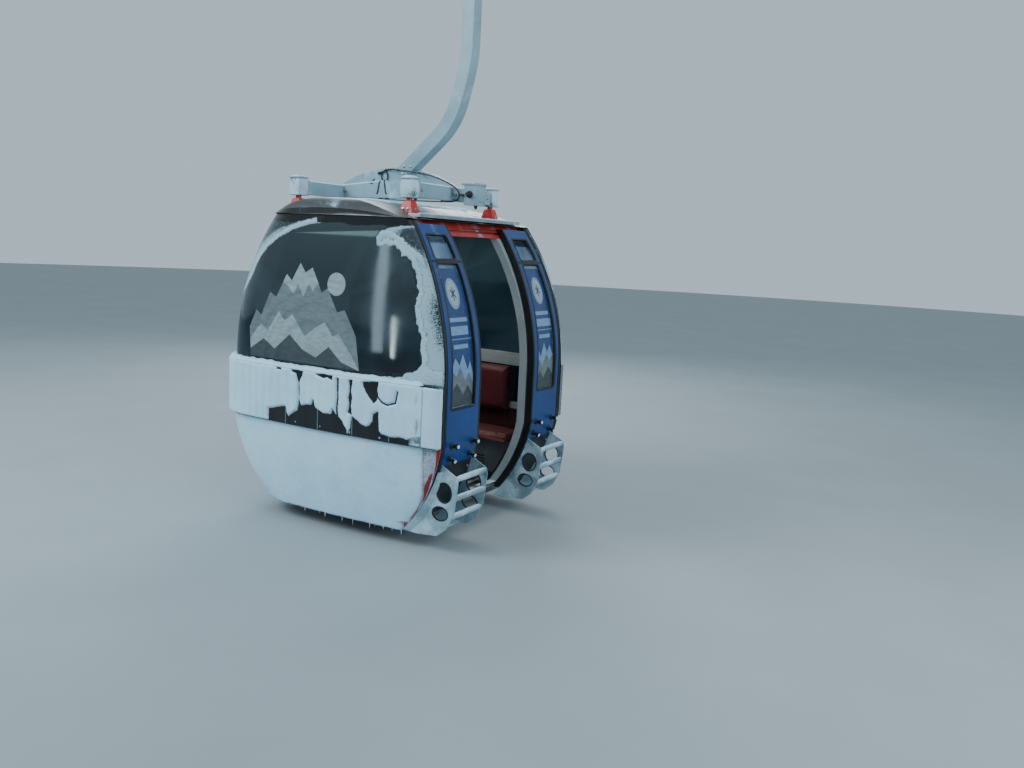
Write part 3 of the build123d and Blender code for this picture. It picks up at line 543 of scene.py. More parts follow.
def rod(made, start, end, radius, steps=24, round_by=0.0, tip=None):
    """Adds a bar from one point to another; six steps make a hexagon, and a tip makes a cone."""
    start, end = Vector(start), Vector(end)
    turn = (end - start).to_track_quat("Z", "Y").to_matrix().to_4x4()
    place = Matrix.Translation((start + end) / 2) @ turn
    corners = set(bmesh.ops.create_cone(
        made, cap_ends=True, segments=steps, radius1=radius, radius2=radius if tip is None else tip,
        depth=(end - start).length, matrix=place)["verts"])
    if round_by:
        edges = [edge for edge in made.edges
                 if edge.verts[0] in corners and any(len(face.verts) == steps for face in edge.link_faces)]
        bmesh.ops.bevel(made, geom=edges, offset=round_by, segments=2,
                        affect="EDGES", profile=0.5, material=-1)


def turned(made, profile, place, axis, steps=32):
    """Spins a profile of points (along, radius) round an axis through a place."""
    turn = Vector(axis).to_track_quat("Z", "Y").to_matrix().to_4x4()
    where = Matrix.Translation(place) @ turn
    line = [made.verts.new(where @ Vector((radius, 0, along))) for along, radius in profile]
    edges = [made.edges.new(pair) for pair in zip(line, line[1:])]
    bmesh.ops.spin(made, geom=line + edges, cent=place, axis=axis, angle=math.tau,
                   steps=steps, use_merge=True)


def swept(made, stations, section):
    """Draws a closed section of points (out, up) along stations, which are matrices, and closes its ends."""
    grid = bmesh.ops.create_grid(made, x_segments=len(stations) - 1, y_segments=len(section),
                                 size=0.5)["verts"]
    for number, vert in enumerate(grid):
        row, column = divmod(number, len(stations))
        out, up = section[row % len(section)]
        vert.co = stations[column] @ Vector((out, up, 0))
    bmesh.ops.remove_doubles(made, verts=grid, dist=WELD)
    rims = [edge for edge in made.edges if edge.is_boundary]
    bmesh.ops.holes_fill(made, edges=rims, sides=0)


def station(place, out, up):
    """The matrix that puts a section at a place, with its first axis out and its second up."""
    out = Vector(out).normalized()
    up = (Vector(up) - Vector(up).dot(out) * out).normalized()
    turn = Matrix((out, up, out.cross(up))).transposed().to_4x4()
    return Matrix.Translation(place) @ turn


def piece(made, name, finish, body="cabin", crease=SMOOTH_BELOW):
    """Turns a bmesh of closed shapes into a finished object that rides on a body."""
    bmesh.ops.remove_doubles(made, verts=made.verts[:], dist=WELD)
    bmesh.ops.recalc_face_normals(made, faces=made.faces[:])
    mesh = bpy.data.meshes.new(name)
    made.to_mesh(mesh)
    made.free()
    mesh.materials.append(finish)
    mesh.shade_smooth()
    mesh.set_sharp_from_angle(angle=math.radians(crease))
    shape = bpy.data.objects.new(name, mesh)
    bpy.context.scene.collection.objects.link(shape)
    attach(shape, body)
    print(name, len(mesh.polygons), "faces")
    return shape


print("helpers ready")

# %% [markdown]
# ## Layers of snow
# Driven snow is a skin that follows what it lies on. To model it, a grid is thrown at the CAD
# surface with rays: each point of the grid is cast along its own line, lands on the surface and is
# lifted off it by the depth that the snow has there. Where that depth is below zero the point sinks
# into the surface, so the layer's rim is a clean line without steps. Each point also keeps its
# depth as an attribute, which lets the finish thin out where the snow does. A Solidify modifier
# gives the skin a closed underside.

# %% Surfaces, rays and layers
SINK = 0.003
FAR = 3.0


def surface(*names):
    """The faces of some CAD nodes, ready for rays to be cast at them."""
    made = bmesh.new()
    for name in names:
        made.from_mesh(frame["nodes"][name].data)
    return BVHTree.FromBMesh(made)


def ramp(value, start, end):
    """0 at start and 1 at end, smooth at both."""
    share = min(1.0, max(0.0, (value - start) / (end - start)))
    return share * share * (3 - 2 * share)


def lumps(spot, size):
    """Smooth noise from -1 to 1 whose lumps have a size in metres."""
    return noise.noise(Vector(spot) / size)


def layer(name, tree, columns, rows, ray, depth, finish, body="cabin", sink=SINK, back=0.002):
    """A skin of snow. ray(u, v) gives the start and way of a ray, depth(spot, u, v) the thickness there."""
    made = bmesh.new()
    bmesh.ops.create_grid(made, x_segments=columns, y_segments=rows, size=0.5)
    lost, bare = set(), set()
    deep = made.verts.layers.float.new("depth")
    for vert in made.verts:
        u, v = vert.co.x + 0.5, vert.co.y + 0.5
        start, way = ray(u, v)
        spot, normal, _, _ = tree.ray_cast(start, way)
        if spot is None:
            lost.add(vert)
            continue
        if normal.dot(way) > 0:
            normal = -normal
        thick = max(depth(spot, u, v), -sink)
        if thick <= -sink:
            bare.add(vert)
        vert.co = spot + normal * thick
        vert[deep] = thick
    gone = [face for face in made.faces
            if any(vert in lost for vert in face.verts) or all(vert in bare for vert in face.verts)]
    bmesh.ops.delete(made, geom=gone, context="FACES")
    made.faces.ensure_lookup_table()
    middle = made.faces[len(made.faces) // 2]
    middle.normal_update()
    _, normal, _, _ = tree.find_nearest(middle.calc_center_median())
    if middle.normal.dot(normal) < 0:
        bmesh.ops.reverse_faces(made, faces=made.faces[:])
    mesh = bpy.data.meshes.new(name)
    made.to_mesh(mesh)
    made.free()
    mesh.materials.append(finish)
    mesh.shade_smooth()
    shape = bpy.data.objects.new(name, mesh)
    bpy.context.scene.collection.objects.link(shape)
    skin = shape.modifiers.new("underside", "SOLIDIFY")
    skin.thickness = back
    skin.offset = -1
    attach(shape, body)
    print(name, len(mesh.polygons), "faces")
    return shape


print("snow tools ready")

# %% [markdown]
# ## Round the shell
# Most of the snow lies on the front end and turns with the big corner to the back of the cabin. A
# distance along that way starts at the door corner, runs over the front, round the corner's centre
# and along the back. Below the belt the panels draw in, and so their edge at the doors is measured
# on the model level by level.

# %% A way round the shell
DOOR_EDGE = 1.009
CORNER_MID = (-0.609, -0.4735)
CORNER_RADIUS = 0.34
FRONT_WAY = DOOR_EDGE - CORNER_MID[0]
CORNER_WAY = CORNER_RADIUS * math.pi / 2
HALF_WAY = FRONT_WAY + CORNER_WAY - CORNER_MID[1]
BEHIND_FACE, BEHIND_FOOT, FOOT_HEIGHT = 0.025, 0.008, 0.075
lower_walls = surface("lower_shell_front", "lower_shell_back", "lower_shell_rear")
belt_walls = surface("belt_window_front", "belt_window_back", "belt_window_rear")
glass_walls = surface("window_front", "window_back", "window_rear", "back_posts")


@functools.lru_cache(maxsize=None)
def end_face(tree, height):
    """Where the front end's face is at the door corner, at a height."""
    front, _, _, _ = tree.ray_cast(at(0.6, -FAR, height), Vector((0, 1, 0)))
    return front.y


@functools.lru_cache(maxsize=None)
def door_edge(tree, height):
    """How far out the end panels reach at the door corner, at a height; near the foot they are thinner."""
    behind = BEHIND_FACE if height > FOOT_HEIGHT else BEHIND_FOOT
    spot, _, _, _ = tree.ray_cast(Vector((FAR, end_face(tree, height) + behind, UNDERSIDE + height)),
                                  Vector((-1, 0, 0)))
    return spot.x


def inwards(tree, way, height):
    """The ray that meets the shell at a distance along the way; below zero it is on the door side."""
    if way > HALF_WAY:
        start, line = inwards(tree, 2 * HALF_WAY - way, height)
        return start * Vector((1, -1, 1)), line * Vector((1, -1, 1))
    if way < 0:
        return Vector((FAR, end_face(tree, height) + 0.010 - way, UNDERSIDE + height)), Vector((-1, 0, 0))
    if way < FRONT_WAY:
        return at(door_edge(tree,
                            height) - 0.002 - way * (door_edge(tree, height) - CORNER_MID[0]) / FRONT_WAY,
                  -FAR, height), Vector((0, 1, 0))
    if way < FRONT_WAY + CORNER_WAY:
        angle = (way - FRONT_WAY) / CORNER_RADIUS
        line = Vector((math.sin(angle), math.cos(angle), 0))
        return at(*CORNER_MID, height) - FAR * line, line
    return at(-FAR, CORNER_MID[1] + way - FRONT_WAY - CORNER_WAY, height), Vector((1, 0, 0))


print("door edge at 0.3 m:", round(door_edge(lower_walls, 0.3), 3), "and at 0.55 m:",
      round(door_edge(lower_walls, 0.55), 3))

# %% [markdown]
# ## Snow on the lower panel
# The panel under the belt is packed smooth with snow about 12 mm deep, and only its edge at the doors
# shows the red through thin rime. That fade is wide and its red dark, partly as painted shade of a
# rounder corner than the CAD one. The layer ends in a soft, slightly ragged rim at the foot.

# %% Lower panel
LOWER_SNOW = 0.013
LOWER_TOP = 0.592
LOWER_FOOT = 0.006
SNOW_START = -0.06
SNOW_END = 3.05


def lower_ray(u, v):
    way = SNOW_START + u * (SNOW_END - SNOW_START)
    return inwards(lower_walls, way, round(LOWER_FOOT + (LOWER_TOP - LOWER_FOOT) * v, 4))


def lower_depth(spot, u, v):
    height = round(spot.z - UNDERSIDE, 4)
    way = SNOW_START + u * (SNOW_END - SNOW_START)
    deep = LOWER_SNOW + 0.003 * lumps(spot, 0.22) + 0.0012 * lumps(spot, 0.05)
    thin = 0.0017 + 0.0009 * lumps(spot, 0.07)
    # How far in from the door edge the snow thins; the width is partly real and partly painted shade of a
    # rounded corner.
    bared_and_shaded_reach = 0.035 + 0.065 * ramp(height, 0.03, 0.22)
    deep = thin + (deep - thin) * ramp(way + 0.02 * lumps(spot, 0.1), -0.010, bared_and_shaded_reach)
    deep -= (0.0008 + 0.0012 * lumps(spot, 0.05)) * ramp(way, 0.0, SNOW_START)
    patchy = 0.5 + 0.5 * lumps(spot + Vector((9, 0, 0)), 0.16)
    deep -= 0.030 * ramp(way, 2.35, 2.95) * patchy + 0.006 * ramp(way, 2.5, 3.0)
    foot = LOWER_FOOT - 0.002 + 0.005 * lumps(spot, 0.03)
    return (deep + SINK) * ramp(height, foot - 0.012, foot + 0.010) - SINK


layer("snow_lower_panel", lower_walls, 336, 66, lower_ray, lower_depth, snow_on_red)

# %% [markdown]
# ## Snow on the belt
# On the belt window the snow is thicker, with soft upright ripples at the back corner. Further to
# the right pieces have fallen off. The bare patches are drawn here as outlines of points, across
# and up from the belt's lower edge, and the snow's depth grows with the distance from them.

# %% Bare patches of the belt
BARE_PATCHES = (
    ((-0.374, -0.02), (-0.374, 0.085), (-0.33, 0.092), (-0.26, 0.112), (-0.205, 0.122), (-0.197, 0.073),
     (-0.183, 0.054), (-0.158, 0.074), (-0.101, 0.108), (-0.081, 0.199), (-0.07, 0.143), (-0.02, 0.155),
     (0.021, 0.161), (0.04, 0.199), (0.062, 0.146), (0.129, 0.117), (0.193, 0.123), (0.212, 0.161),
     (0.227, 0.133), (0.26, 0.109), (0.288, 0.091), (0.318, 0.045), (0.336, 0.024), (0.352, 0.05),
     (0.362, 0.115), (0.369, 0.131), (0.39, 0.118), (0.414, 0.108), (0.445, 0.086), (0.477, 0.08),
     (0.509, 0.092), (0.529, 0.12), (0.531, 0.167), (0.573, 0.187), (0.581, 0.066), (0.60, 0.048),
     (0.675, 0.036), (0.74, 0.046), (0.791, 0.036), (0.84, 0.05), (0.88, 0.060), (0.911, 0.076),
     (0.949, 0.11), (0.956, 0.04), (0.956, -0.02)),
    ((0.238, 0.10), (0.256, 0.10), (0.25, 0.17), (0.256, 0.24), (0.252, 0.367), (0.239, 0.367),
     (0.244, 0.24),
     (0.236, 0.17)),
    ((0.332, 0.150), (0.366, 0.140), (0.358, 0.20), (0.366, 0.255), (0.356, 0.30), (0.368, 0.370),
     (0.338, 0.362), (0.346, 0.30), (0.336, 0.25), (0.344, 0.20)),
    ((0.447, 0.365), (0.571, 0.38), (0.556, 0.30), (0.562, 0.262), (0.537, 0.236), (0.49, 0.28),
     (0.451, 0.337)),
    ((-0.298, 0.364), (-0.256, 0.364), (-0.258, 0.384), (-0.296, 0.384)),
    ((-0.156, 0.366), (-0.118, 0.352), (-0.099, 0.315), (-0.087, 0.27), (-0.078, 0.318), (-0.058, 0.352),
     (-0.05, 0.384), (-0.156, 0.384)),
    ((0.064, 0.366), (0.12, 0.352), (0.16, 0.358), (0.201, 0.346), (0.201, 0.381), (0.064, 0.381)),
)
CREASES = (
    ((0.552, 0.345), (0.566, 0.28), (0.60, 0.25), (0.64, 0.238), (0.70, 0.258), (0.714, 0.33)),
    ((-0.087, 0.28), (-0.08, 0.21)),
    ((0.247, 0.10), (0.26, 0.06)),
)
print(len(BARE_PATCHES), "bare patches")

# %% Snow on the belt
BELT_LOW = 0.597
BELT_HIGH = 0.985
BELT_OUT = 0.035
BELT_SNOW = 0.013
CREASE_WIDE = 0.005
BELT_START = -0.09
CORNER_FADE = 0.03


def to_segment(x, y, ax, ay, bx, by):
    """The distance from a point to the line between two points."""
    dx, dy = bx - ax, by - ay
    share = min(1.0, max(0.0, ((x - ax) * dx + (y - ay) * dy) / (dx * dx + dy * dy)))
    return math.hypot(x - ax - share * dx, y - ay - share * dy)


def to_outline(x, y, outline):
    """The distance to a closed outline, below zero inside it."""
    nearest, inside = 9.0, False
    for (ax, ay), (bx, by) in zip(outline, outline[1:] + outline[:1]):
        nearest = min(nearest, to_segment(x, y, ax, ay, bx, by))
        if (ay > y) != (by > y) and x < (bx - ax) * (y - ay) / (by - ay) + ax:
            inside = not inside
    return -nearest if inside else nearest


def belt_ray(u, v):
    way = BELT_START + u * (SNOW_END - BELT_START)
    return inwards(belt_walls, way, round(BELT_LOW + 0.003 + (BELT_HIGH - BELT_LOW - 0.006) * v, 4))


def belt_depth(spot, u, v):
    way = BELT_START + u * (SNOW_END - BELT_START)
    height = spot.z - UNDERSIDE - BELT_LOW
    ripple = math.sin(math.tau * way / 0.078 + 2.2 * lumps((way, 0, 0), 0.3) + 0.6 * lumps(spot, 0.2))
    rippled = ramp(way, 0.7, 1.3)
    deep = BELT_SNOW + 0.0028 * ripple * (0.35 + 0.65 * rippled) + 0.003 * lumps(spot, 0.09)
    thin = 0.0018 + 0.0014 * lumps(spot, 0.05)
    if 0 < way < FRONT_WAY:
        shake = 0.004 * lumps(spot, 0.018)
        away = min(to_outline(spot.x, height, patch) for patch in BARE_PATCHES) + shake
        for crease in CREASES:
            for (ax, ay), (bx, by) in zip(crease, crease[1:]):
                away = min(away, to_segment(spot.x, height, ax, ay, bx, by) - CREASE_WIDE)
        deep = deep * ramp(away, -0.001, 0.011) if away > 0 else away
        if way < CORNER_FADE:
            deep = max(deep, 0.0105 - 0.12 * way)
    elif way <= 0:
        deep = thin + (0.0105 - thin) * ramp(way + 0.01 * lumps(spot, 0.04), BELT_START + 0.02, -0.012)
    patchy = 0.5 + 0.5 * lumps(spot + Vector((5, 0, 0)), 0.16)
    deep -= 0.032 * ramp(way, 2.45, 3.0) * patchy + 0.006 * ramp(way, 2.6, 3.05)
    ends = min(height - 0.001, BELT_HIGH - BELT_LOW - 0.006 - height)
    return (deep + SINK) * ramp(ends, -0.003, 0.009) - SINK


layer("snow_belt", belt_walls, 452, 64, belt_ray, belt_depth, snow_on_dark)

# %% [markdown]
# ## Snow on the belt's ledge
# The belt stands 35 mm proud of the window, and a rounded bank of snow lies along that ledge and
# hangs a little over it. Its section is drawn along the way round the shell, larger and smaller by
# turns, so that it doesn't look like a moulding.

# %% The ledge bank
BANK = (
    # out from the glass, up from the ledge
    (-0.003, 0.024), (0.006, 0.026), (0.016, 0.022), (0.027, 0.017), (0.037, 0.009), (0.043, -0.001),
    (0.043, -0.010), (0.038, -0.014), (0.032, -0.010), (0.020, -0.004), (-0.003, -0.004),
)


def ledge_stations(start, end, step, size):
    """Matrices along the ledge, scaled by size(way)."""
    found = []
    for number in range(int((end - start) / step) + 1):
        way = start + number * step
        origin, direction = inwards(glass_walls, way, BELT_HIGH + 0.003)
        spot, normal, _, _ = glass_walls.ray_cast(origin, direction)
        if normal.dot(direction) > 0:
            normal = -normal
        normal.z = 0
        spot.z = UNDERSIDE + BELT_HIGH
        big = size(way)
        found.append(station(spot, normal, (0, 0, 1)) @ Matrix.Diagonal((1 + (big - 1) * 0.25, big, 1, 1)))
    return found


def bank_size(way):
    fall = ramp(way, 3.1, 2.6) * ramp(way, 0.02, 0.05)
    return (0.10 + 0.9 * fall) * (0.82 + 0.28 * lumps((way, 3, 0), 0.05) + 0.22 * lumps((way, 7, 0), 0.17))


bank = bmesh.new()
swept(bank, ledge_stations(0.022, 3.1, 0.012, bank_size), BANK)
piece(bank, "snow_ledge", snow, crease=80)

# %% [markdown]
# ## Rime on the end window
# Beside the doors and at the back corner thick rime has a sharp inner edge on the glass. The pane's
# own finish draws the thin grains; this layer is the thick part along the inner edge, with the
# broken outline that flaking leaves. It thins out over 60 to 100 mm.

# %% Rime by the doors
RIME_EDGE = (
    # across, height: the inner edge, from the ledge up and over to its top right end
    (0.50, 0.985), (0.60, 1.005), (0.694, 1.012), (0.744, 1.047), (0.80, 1.05), (0.835, 1.085),
    (0.856, 1.122),
    (0.842, 1.20), (0.84, 1.281), (0.80, 1.38), (0.785, 1.461), (0.79, 1.50), (0.80, 1.548), (0.788, 1.62),
    (0.769, 1.674), (0.745, 1.70), (0.735, 1.74), (0.694, 1.767), (0.66, 1.765), (0.645, 1.80), (0.60, 1.83),
    (0.578, 1.823), (0.545, 1.83), (0.50, 1.812), (0.468, 1.825), (0.462, 1.867), (0.476, 1.90),
    (0.516, 1.925),
    (0.58, 1.915), (0.64, 1.885), (0.70, 1.84),
)
RIME_REGION = RIME_EDGE + ((1.1, 1.6), (1.1, 0.985))
RIME_THICK = 0.0045


def rime_ray(u, v):
    return at(0.42 + 0.60 * u, -FAR, 0.988 + 0.96 * v), Vector((0, 1, 0))


def rime_depth(spot, u, v):
    height = spot.z - UNDERSIDE
    shake = 0.010 * lumps(spot, 0.022) + 0.006 * lumps(spot, 0.009)
    away = -to_outline(spot.x, height, RIME_REGION) + shake
    reach = 0.055 + 0.03 * lumps(spot, 0.08) + 0.25 * ramp(height, 1.12, 1.02)
    deep = RIME_THICK * (1 + 0.35 * lumps(spot, 0.012)) * ramp(away, 0.0, 0.010)
    deep -= 1.35 * RIME_THICK * ramp(away, 0.3 * reach, reach) + 0.0022 * lumps(spot, 0.014) * ramp(away,
                                                                                                    0.0,
                                                                                                    0.05)
    return deep if away > 0 else away * 0.25


layer("rime_right", glass_walls, 120, 190, rime_ray, rime_depth, rime_on_glass, sink=0.0008, back=0.0005)

# %% Rime at the back corner
WEDGE_EDGE = ((-0.98, 1.30), (-0.86, 1.40), (-0.72, 1.475), (-0.64, 1.55), (-0.605, 1.61), (-0.54, 1.71),
              (-0.47, 1.772), (-0.375, 1.834), (-0.243, 1.897), (-0.113, 1.932), (0.02, 1.956))
WEDGE_REGION = WEDGE_EDGE + ((0.02, 2.1), (-1.1, 2.1), (-1.1, 1.30))


def wedge_ray(u, v):
    return inwards(glass_walls, 0.90 + 1.13 * u, 1.2 + 0.79 * v)


def wedge_depth(spot, u, v):
    height = spot.z - UNDERSIDE
    shake = 0.006 * lumps(spot, 0.02) + 0.004 * lumps(spot, 0.008)
    away = -to_outline(spot.x, height, WEDGE_REGION) + shake
    deep = 0.0035 * (1 + 0.35 * lumps(spot, 0.012)) * ramp(away, 0.0, 0.008)
    deep -= 0.0046 * ramp(away, 0.008, 0.05) + 0.002 * lumps(spot, 0.012) * ramp(away, 0.0, 0.04)
    return deep if away > 0 else away * 0.25


layer("rime_left", glass_walls, 172, 120, wedge_ray, wedge_depth, rime_on_glass, sink=0.0008, back=0.0005)

# %% [markdown]
# ## Heaps on the roof and its frame
# Snow that fell in the open lies on everything level. On the roof it is a thin layer that ends
# where the dome gets steep. On the bars, the gutter and the mounts it is small rounded heaps, each
# a half-round section drawn along a line, with its size shaken so that no two look alike.

# %% Roof snow
roof_top = surface("roof_shell")
ROOF_SNOW = 0.011


def roof_ray(u, v):
    return at(-0.60 + 1.26 * u, -0.79 + 1.58 * v, FAR), Vector((0, 0, -1))


def roof_depth(spot, u, v):
    height = spot.z - UNDERSIDE
    shake = 0.016 * lumps(spot, 0.10) + 0.008 * lumps(spot, 0.03)
    shake -= 0.030 * ramp(spot.y, -0.30, -0.46) * ramp(spot.x, 0.40, 0.10)
    deep = ROOF_SNOW * (1 + 0.3 * lumps(spot, 0.15)) * ramp(height + shake, 2.098, 2.112)
    return deep - SINK * ramp(height + shake, 2.100, 2.094)


layer("snow_roof", roof_top, 120, 150, roof_ray, roof_depth, snow_on_dark)

# %% Heaps
HEAP_STEP = 0.012
HEAP_SECTION = [(math.cos(math.pi * k / 8), math.sin(math.pi * k / 8)) for k in range(9)]


def heap(made, start, end, wide, high, seed):
    """Adds a low bank of snow along a line from start to end, flat below and rounded above."""
    start, end = Vector(start), Vector(end)
    along = end - start
    across = Vector((0, 0, 1)).cross(along).normalized()
    count = max(6, round(along.length / HEAP_STEP))
    stations = []
    for number in range(count + 1):
        share = number / count
        place = start + along * share
        round_end = math.sqrt(max(0.04, 1 - abs(2 * share - 1) ** 6))
        broad = wide / 2 * round_end * (1 + 0.06 * lumps(place + Vector((seed, 0, 0)), 0.06))
        tall = high * round_end * (1 + 0.45 * lumps(place + Vector((0, seed, 0)), 0.05))
        stations.append(station(place, across, (0, 0, 1)) @ Matrix.Diagonal((broad, tall, 1, 1)))
    swept(made, stations, HEAP_SECTION + [(-0.96, -0.3), (0.96, -0.3)])


MOUNT_X = 0.486
MOUNT_Y = 0.488
HEAPS = (
    # from, to, width, depth: two bars, the beam's four slopes, gutter, lock housing
    ((-0.486, -0.43, 2.2355), (-0.486, 0.43, 2.2355), 0.054, 0.007),
    ((0.486, -0.43, 2.2355), (0.486, 0.43, 2.2355), 0.054, 0.007),
    ((-0.60, -0.033, 2.227), (-0.06, -0.033, 2.275), 0.030, 0.009),
    ((-0.60, 0.033, 2.227), (-0.06, 0.033, 2.275), 0.030, 0.009),
    ((0.06, -0.033, 2.275), (0.60, -0.033, 2.227), 0.030, 0.009),
    ((0.06, 0.033, 2.275), (0.60, 0.033, 2.227), 0.030, 0.009),
    ((0.640, -0.60, 2.0345), (0.640, 0.60, 2.0345), 0.052, 0.007),
    ((0.628, 0.0, 2.2635), (0.710, 0.0, 2.2635), 0.110, 0.008),
)
heaps = bmesh.new()
for number, (start, end, wide, high) in enumerate(HEAPS):
    heap(heaps, at(*start), at(*end), wide, high, number)
for number, (x, y) in enumerate(((-1, -1), (-1, 1), (1, -1), (1, 1))):
    x, y = MOUNT_X * x, MOUNT_Y * y
    heap(heaps, at(x - 0.046, y, 2.264), at(x + 0.046, y, 2.264), 0.092, 0.011, 20 + number)
piece(heaps, "snow_heaps", snow, crease=80)

# %% [markdown]
# ## The arched rim of the end windows
# On the real cabin the black edge of an end window rises in a shallow arch up the roof. A thin
# black layer on the dome's end draws that arch, cast onto the roof as the snow is.

# %% Arched rims
RIM_RISE = 0.046
RIM_HALF = 0.62


def rim_depth(spot, u, v):
    top = 2.002 + RIM_RISE * (1 - (spot.x / RIM_HALF) ** 2) if abs(spot.x) < RIM_HALF else 2.002
    return 0.0024 * ramp(top - (spot.z - UNDERSIDE), -0.001,
                         0.002) - SINK * ramp(spot.z - UNDERSIDE - top, 0.0, 0.002)


for name, side in (("front", -1), ("rear", 1)):
    def rim_ray(u, v, side=side):
        return at(-0.64 + 1.28 * u, side * FAR, 2.001 + 0.06 * v), Vector((0, -side, 0))

    layer(f"window_rim_{name}", roof_top, 90, 30, rim_ray, rim_depth, window_print)

# %% [markdown]
# ## Icicles
# Meltwater drips from the snow at the foot and freezes into small icicles. Each is a tapered
# profile spun round its own axis, with its length and width drawn at random from a fixed seed.

# %% Icicles
random.seed(7)
icicles = bmesh.new()
foot_walls = surface("lower_shell_front")
for x in (-0.52, -0.47, -0.38, -0.36, -0.25, -0.14, -0.115, 0.02, 0.07, 0.22, 0.31, 0.45, 0.49, 0.56,
          0.63, 0.70):
    spot, _, _, _ = foot_walls.ray_cast(at(x, -FAR, 0.02), Vector((0, 1, 0)))
    long = random.uniform(0.022, 0.052)
    thick = random.uniform(0.0028, 0.0050)
    profile = [(0.0, 0.0), (0.0, thick * 1.6), (0.008, thick), (0.45 * long, 0.62 * thick),
               (0.8 * long, 0.36 * thick), (long, 0.0)]
    turned(icicles, profile, Vector((x, spot.y - 0.005, UNDERSIDE + 0.014)), (0, 0, -1), 8)
for x, drop in ((0.335, 0.020), (0.352, 0.016), (0.60, 0.014), (0.10, 0.012), (-0.12, 0.012)):
    turned(icicles, [(0.0, 0.0), (0.0, 0.006), (0.6 * drop, 0.0035), (drop, 0.0)],
           Vector((x, -0.868, UNDERSIDE + BELT_LOW + 0.03)), (0, 0, -1), 8)
piece(icicles, "icicles", ice, crease=60)

# %% [markdown]
# ## Rubber mounts
# The cabin hangs on four rubber blocks between the roof brackets and the frame, which keep the
# hanger's jolts from the riders. A block of rubber is moulded between two steel plates and bulges
# a little under load. A bolt goes through it from the top.

# %% Rubber mounts
MOUNT_HALF = 0.048
mounts, mount_steel = bmesh.new(), bmesh.new()
for side_x in (-1, 1):
    for side_y in (-1, 1):
        x, y = side_x * MOUNT_X, side_y * MOUNT_Y
        for low, high in ((2.135, 2.143), (2.253, 2.263)):
            block(mount_steel, at(x - MOUNT_HALF, y - MOUNT_HALF, low),
                  at(x + MOUNT_HALF, y + MOUNT_HALF, high), 0.0025)
        body = bmesh.ops.create_cube(
            mounts, size=1, matrix=Matrix.Translation(at(x, y, 2.198)) @ Matrix.Diagonal((0.078, 0.078,
                                                                                          0.110, 1)))
        corners = set(body["verts"])
        edges = [edge for edge in mounts.edges if edge.verts[0] in corners]
        bmesh.ops.subdivide_edges(mounts, edges=edges, cuts=6, use_grid_fill=True)
        for vert in mounts.verts:
            if (vert.co - at(x, y, 2.198)).length < 0.1:
                share = (vert.co.z - UNDERSIDE - 2.198) / 0.055
                bulge = 1 + 0.13 * (1 - share * share)
                vert.co.x = x + (vert.co.x - x) * bulge
                vert.co.y = y + (vert.co.y - y) * bulge
        rod(mount_steel, at(x, y, 2.258), at(x, y, 2.267), 0.016, 24, 0.001)
        rod(mount_steel, at(x, y, 2.266), at(x, y, 2.278), 0.012, 6, 0.0012)
mount_blocks = piece(mounts, "rubber_mounts", mount_rubber, crease=50)
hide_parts("dampers")
piece(mount_steel, "mount_plates", grey_carrier)

# %% [markdown]
# ## Bolts
# Steel parts are held by hexagon bolts with round washers. One helper adds a washer, a head with
# chamfered corners and the end of the thread, at a place and in a direction. All bolts of one body
# go into one bmesh.

# %% Bolts
def bolt(made, place, way, size):
    """Adds a washer and a hexagon head; size is the thread's diameter."""
    place, way = Vector(place), Vector(way).normalized()
    rod(made, place - 0.2 * size * way, place + 0.16 * size * way, 1.05 * size, 20)
    rod(made, place + 0.1 * size * way, place + 0.78 * size * way, 0.9 * size, 6, 0.09 * size)
    rod(made, place + 0.5 * size * way, place + 0.98 * size * way, 0.42 * size, 12, 0.06 * size)


frame_bolts = bmesh.new()
for side_x in (-1, 1):
    for side_y in (-1, 1):
        x, y = side_x * MOUNT_X, side_y * MOUNT_Y
        for dx in (-0.018, 0.018):
            bolt(frame_bolts, at(x + dx, y + side_y * 0.0395, 2.062), (0, side_y, 0.19), 0.010)
        bolt(frame_bolts, at(x + side_x * 0.0475, y, 2.062), (side_x, 0, 0.30), 0.010)
        for dx in (-0.018, 0.018):
            bolt(frame_bolts, at(x + dx, side_y * 0.412, 2.235), (0, 0, 1), 0.010)
        bolt(frame_bolts, at(x + side_x * 0.030, side_y * 0.40, 2.19), (side_x, 0, 0), 0.010)
    for x in (0.545, 0.592):
        for side_y in (-1, 1):
            bolt(frame_bolts, at(side_x * x, side_y * 0.050, 2.19), (0, side_y, 0), 0.012)
    for dx in (-0.045, 0.045):
        for side_y in (-1, 1):
            bolt(frame_bolts, at(side_x * 0.486 + dx, side_y * 0.050, 2.20), (0, side_y, 0), 0.012)
for y in (-0.045, 0.045):
    for z in (2.132, 2.249):
        bolt(frame_bolts, at(0.716, y, z), (1, 0, 0), 0.006)
piece(frame_bolts, "frame_bolts", bright_steel, crease=30)

# %% [markdown]
# ## Lock housing
# The box at the beam's end holds the lever that opens the doors in the station. Its lid has a
# rolled edge, a cable gland below and a rubber boot over the lever.

# %% Lock housing details
lock_lid = bmesh.new()
block(lock_lid, at(0.6, -0.066, 2.252), at(0.722, 0.066, 2.269), 0.003)
block(lock_lid, at(0.712, -0.052, 2.14), at(0.7195, 0.052, 2.24), 0.002)
piece(lock_lid, "lock_lid", grey_carrier)
lock_boot = bmesh.new()
turned(lock_boot, [(0.0, 0.0), (0.0, 0.024), (0.006, 0.024), (0.010, 0.018), (0.016, 0.021), (0.021, 0.015),
                   (0.027, 0.018), (0.032, 0.012), (0.040, 0.012), (0.040, 0.0)], at(0.668, -0.060, 2.19),
                   (0, -1, 0))
turned(lock_boot, [(0.0, 0.0), (0.0, 0.013), (0.010, 0.013), (0.013, 0.009), (0.024, 0.008), (0.024, 0.0)],
       at(0.668, 0.02, 2.118), (0, 0, -1))
piece(lock_boot, "lock_boot", epdm)

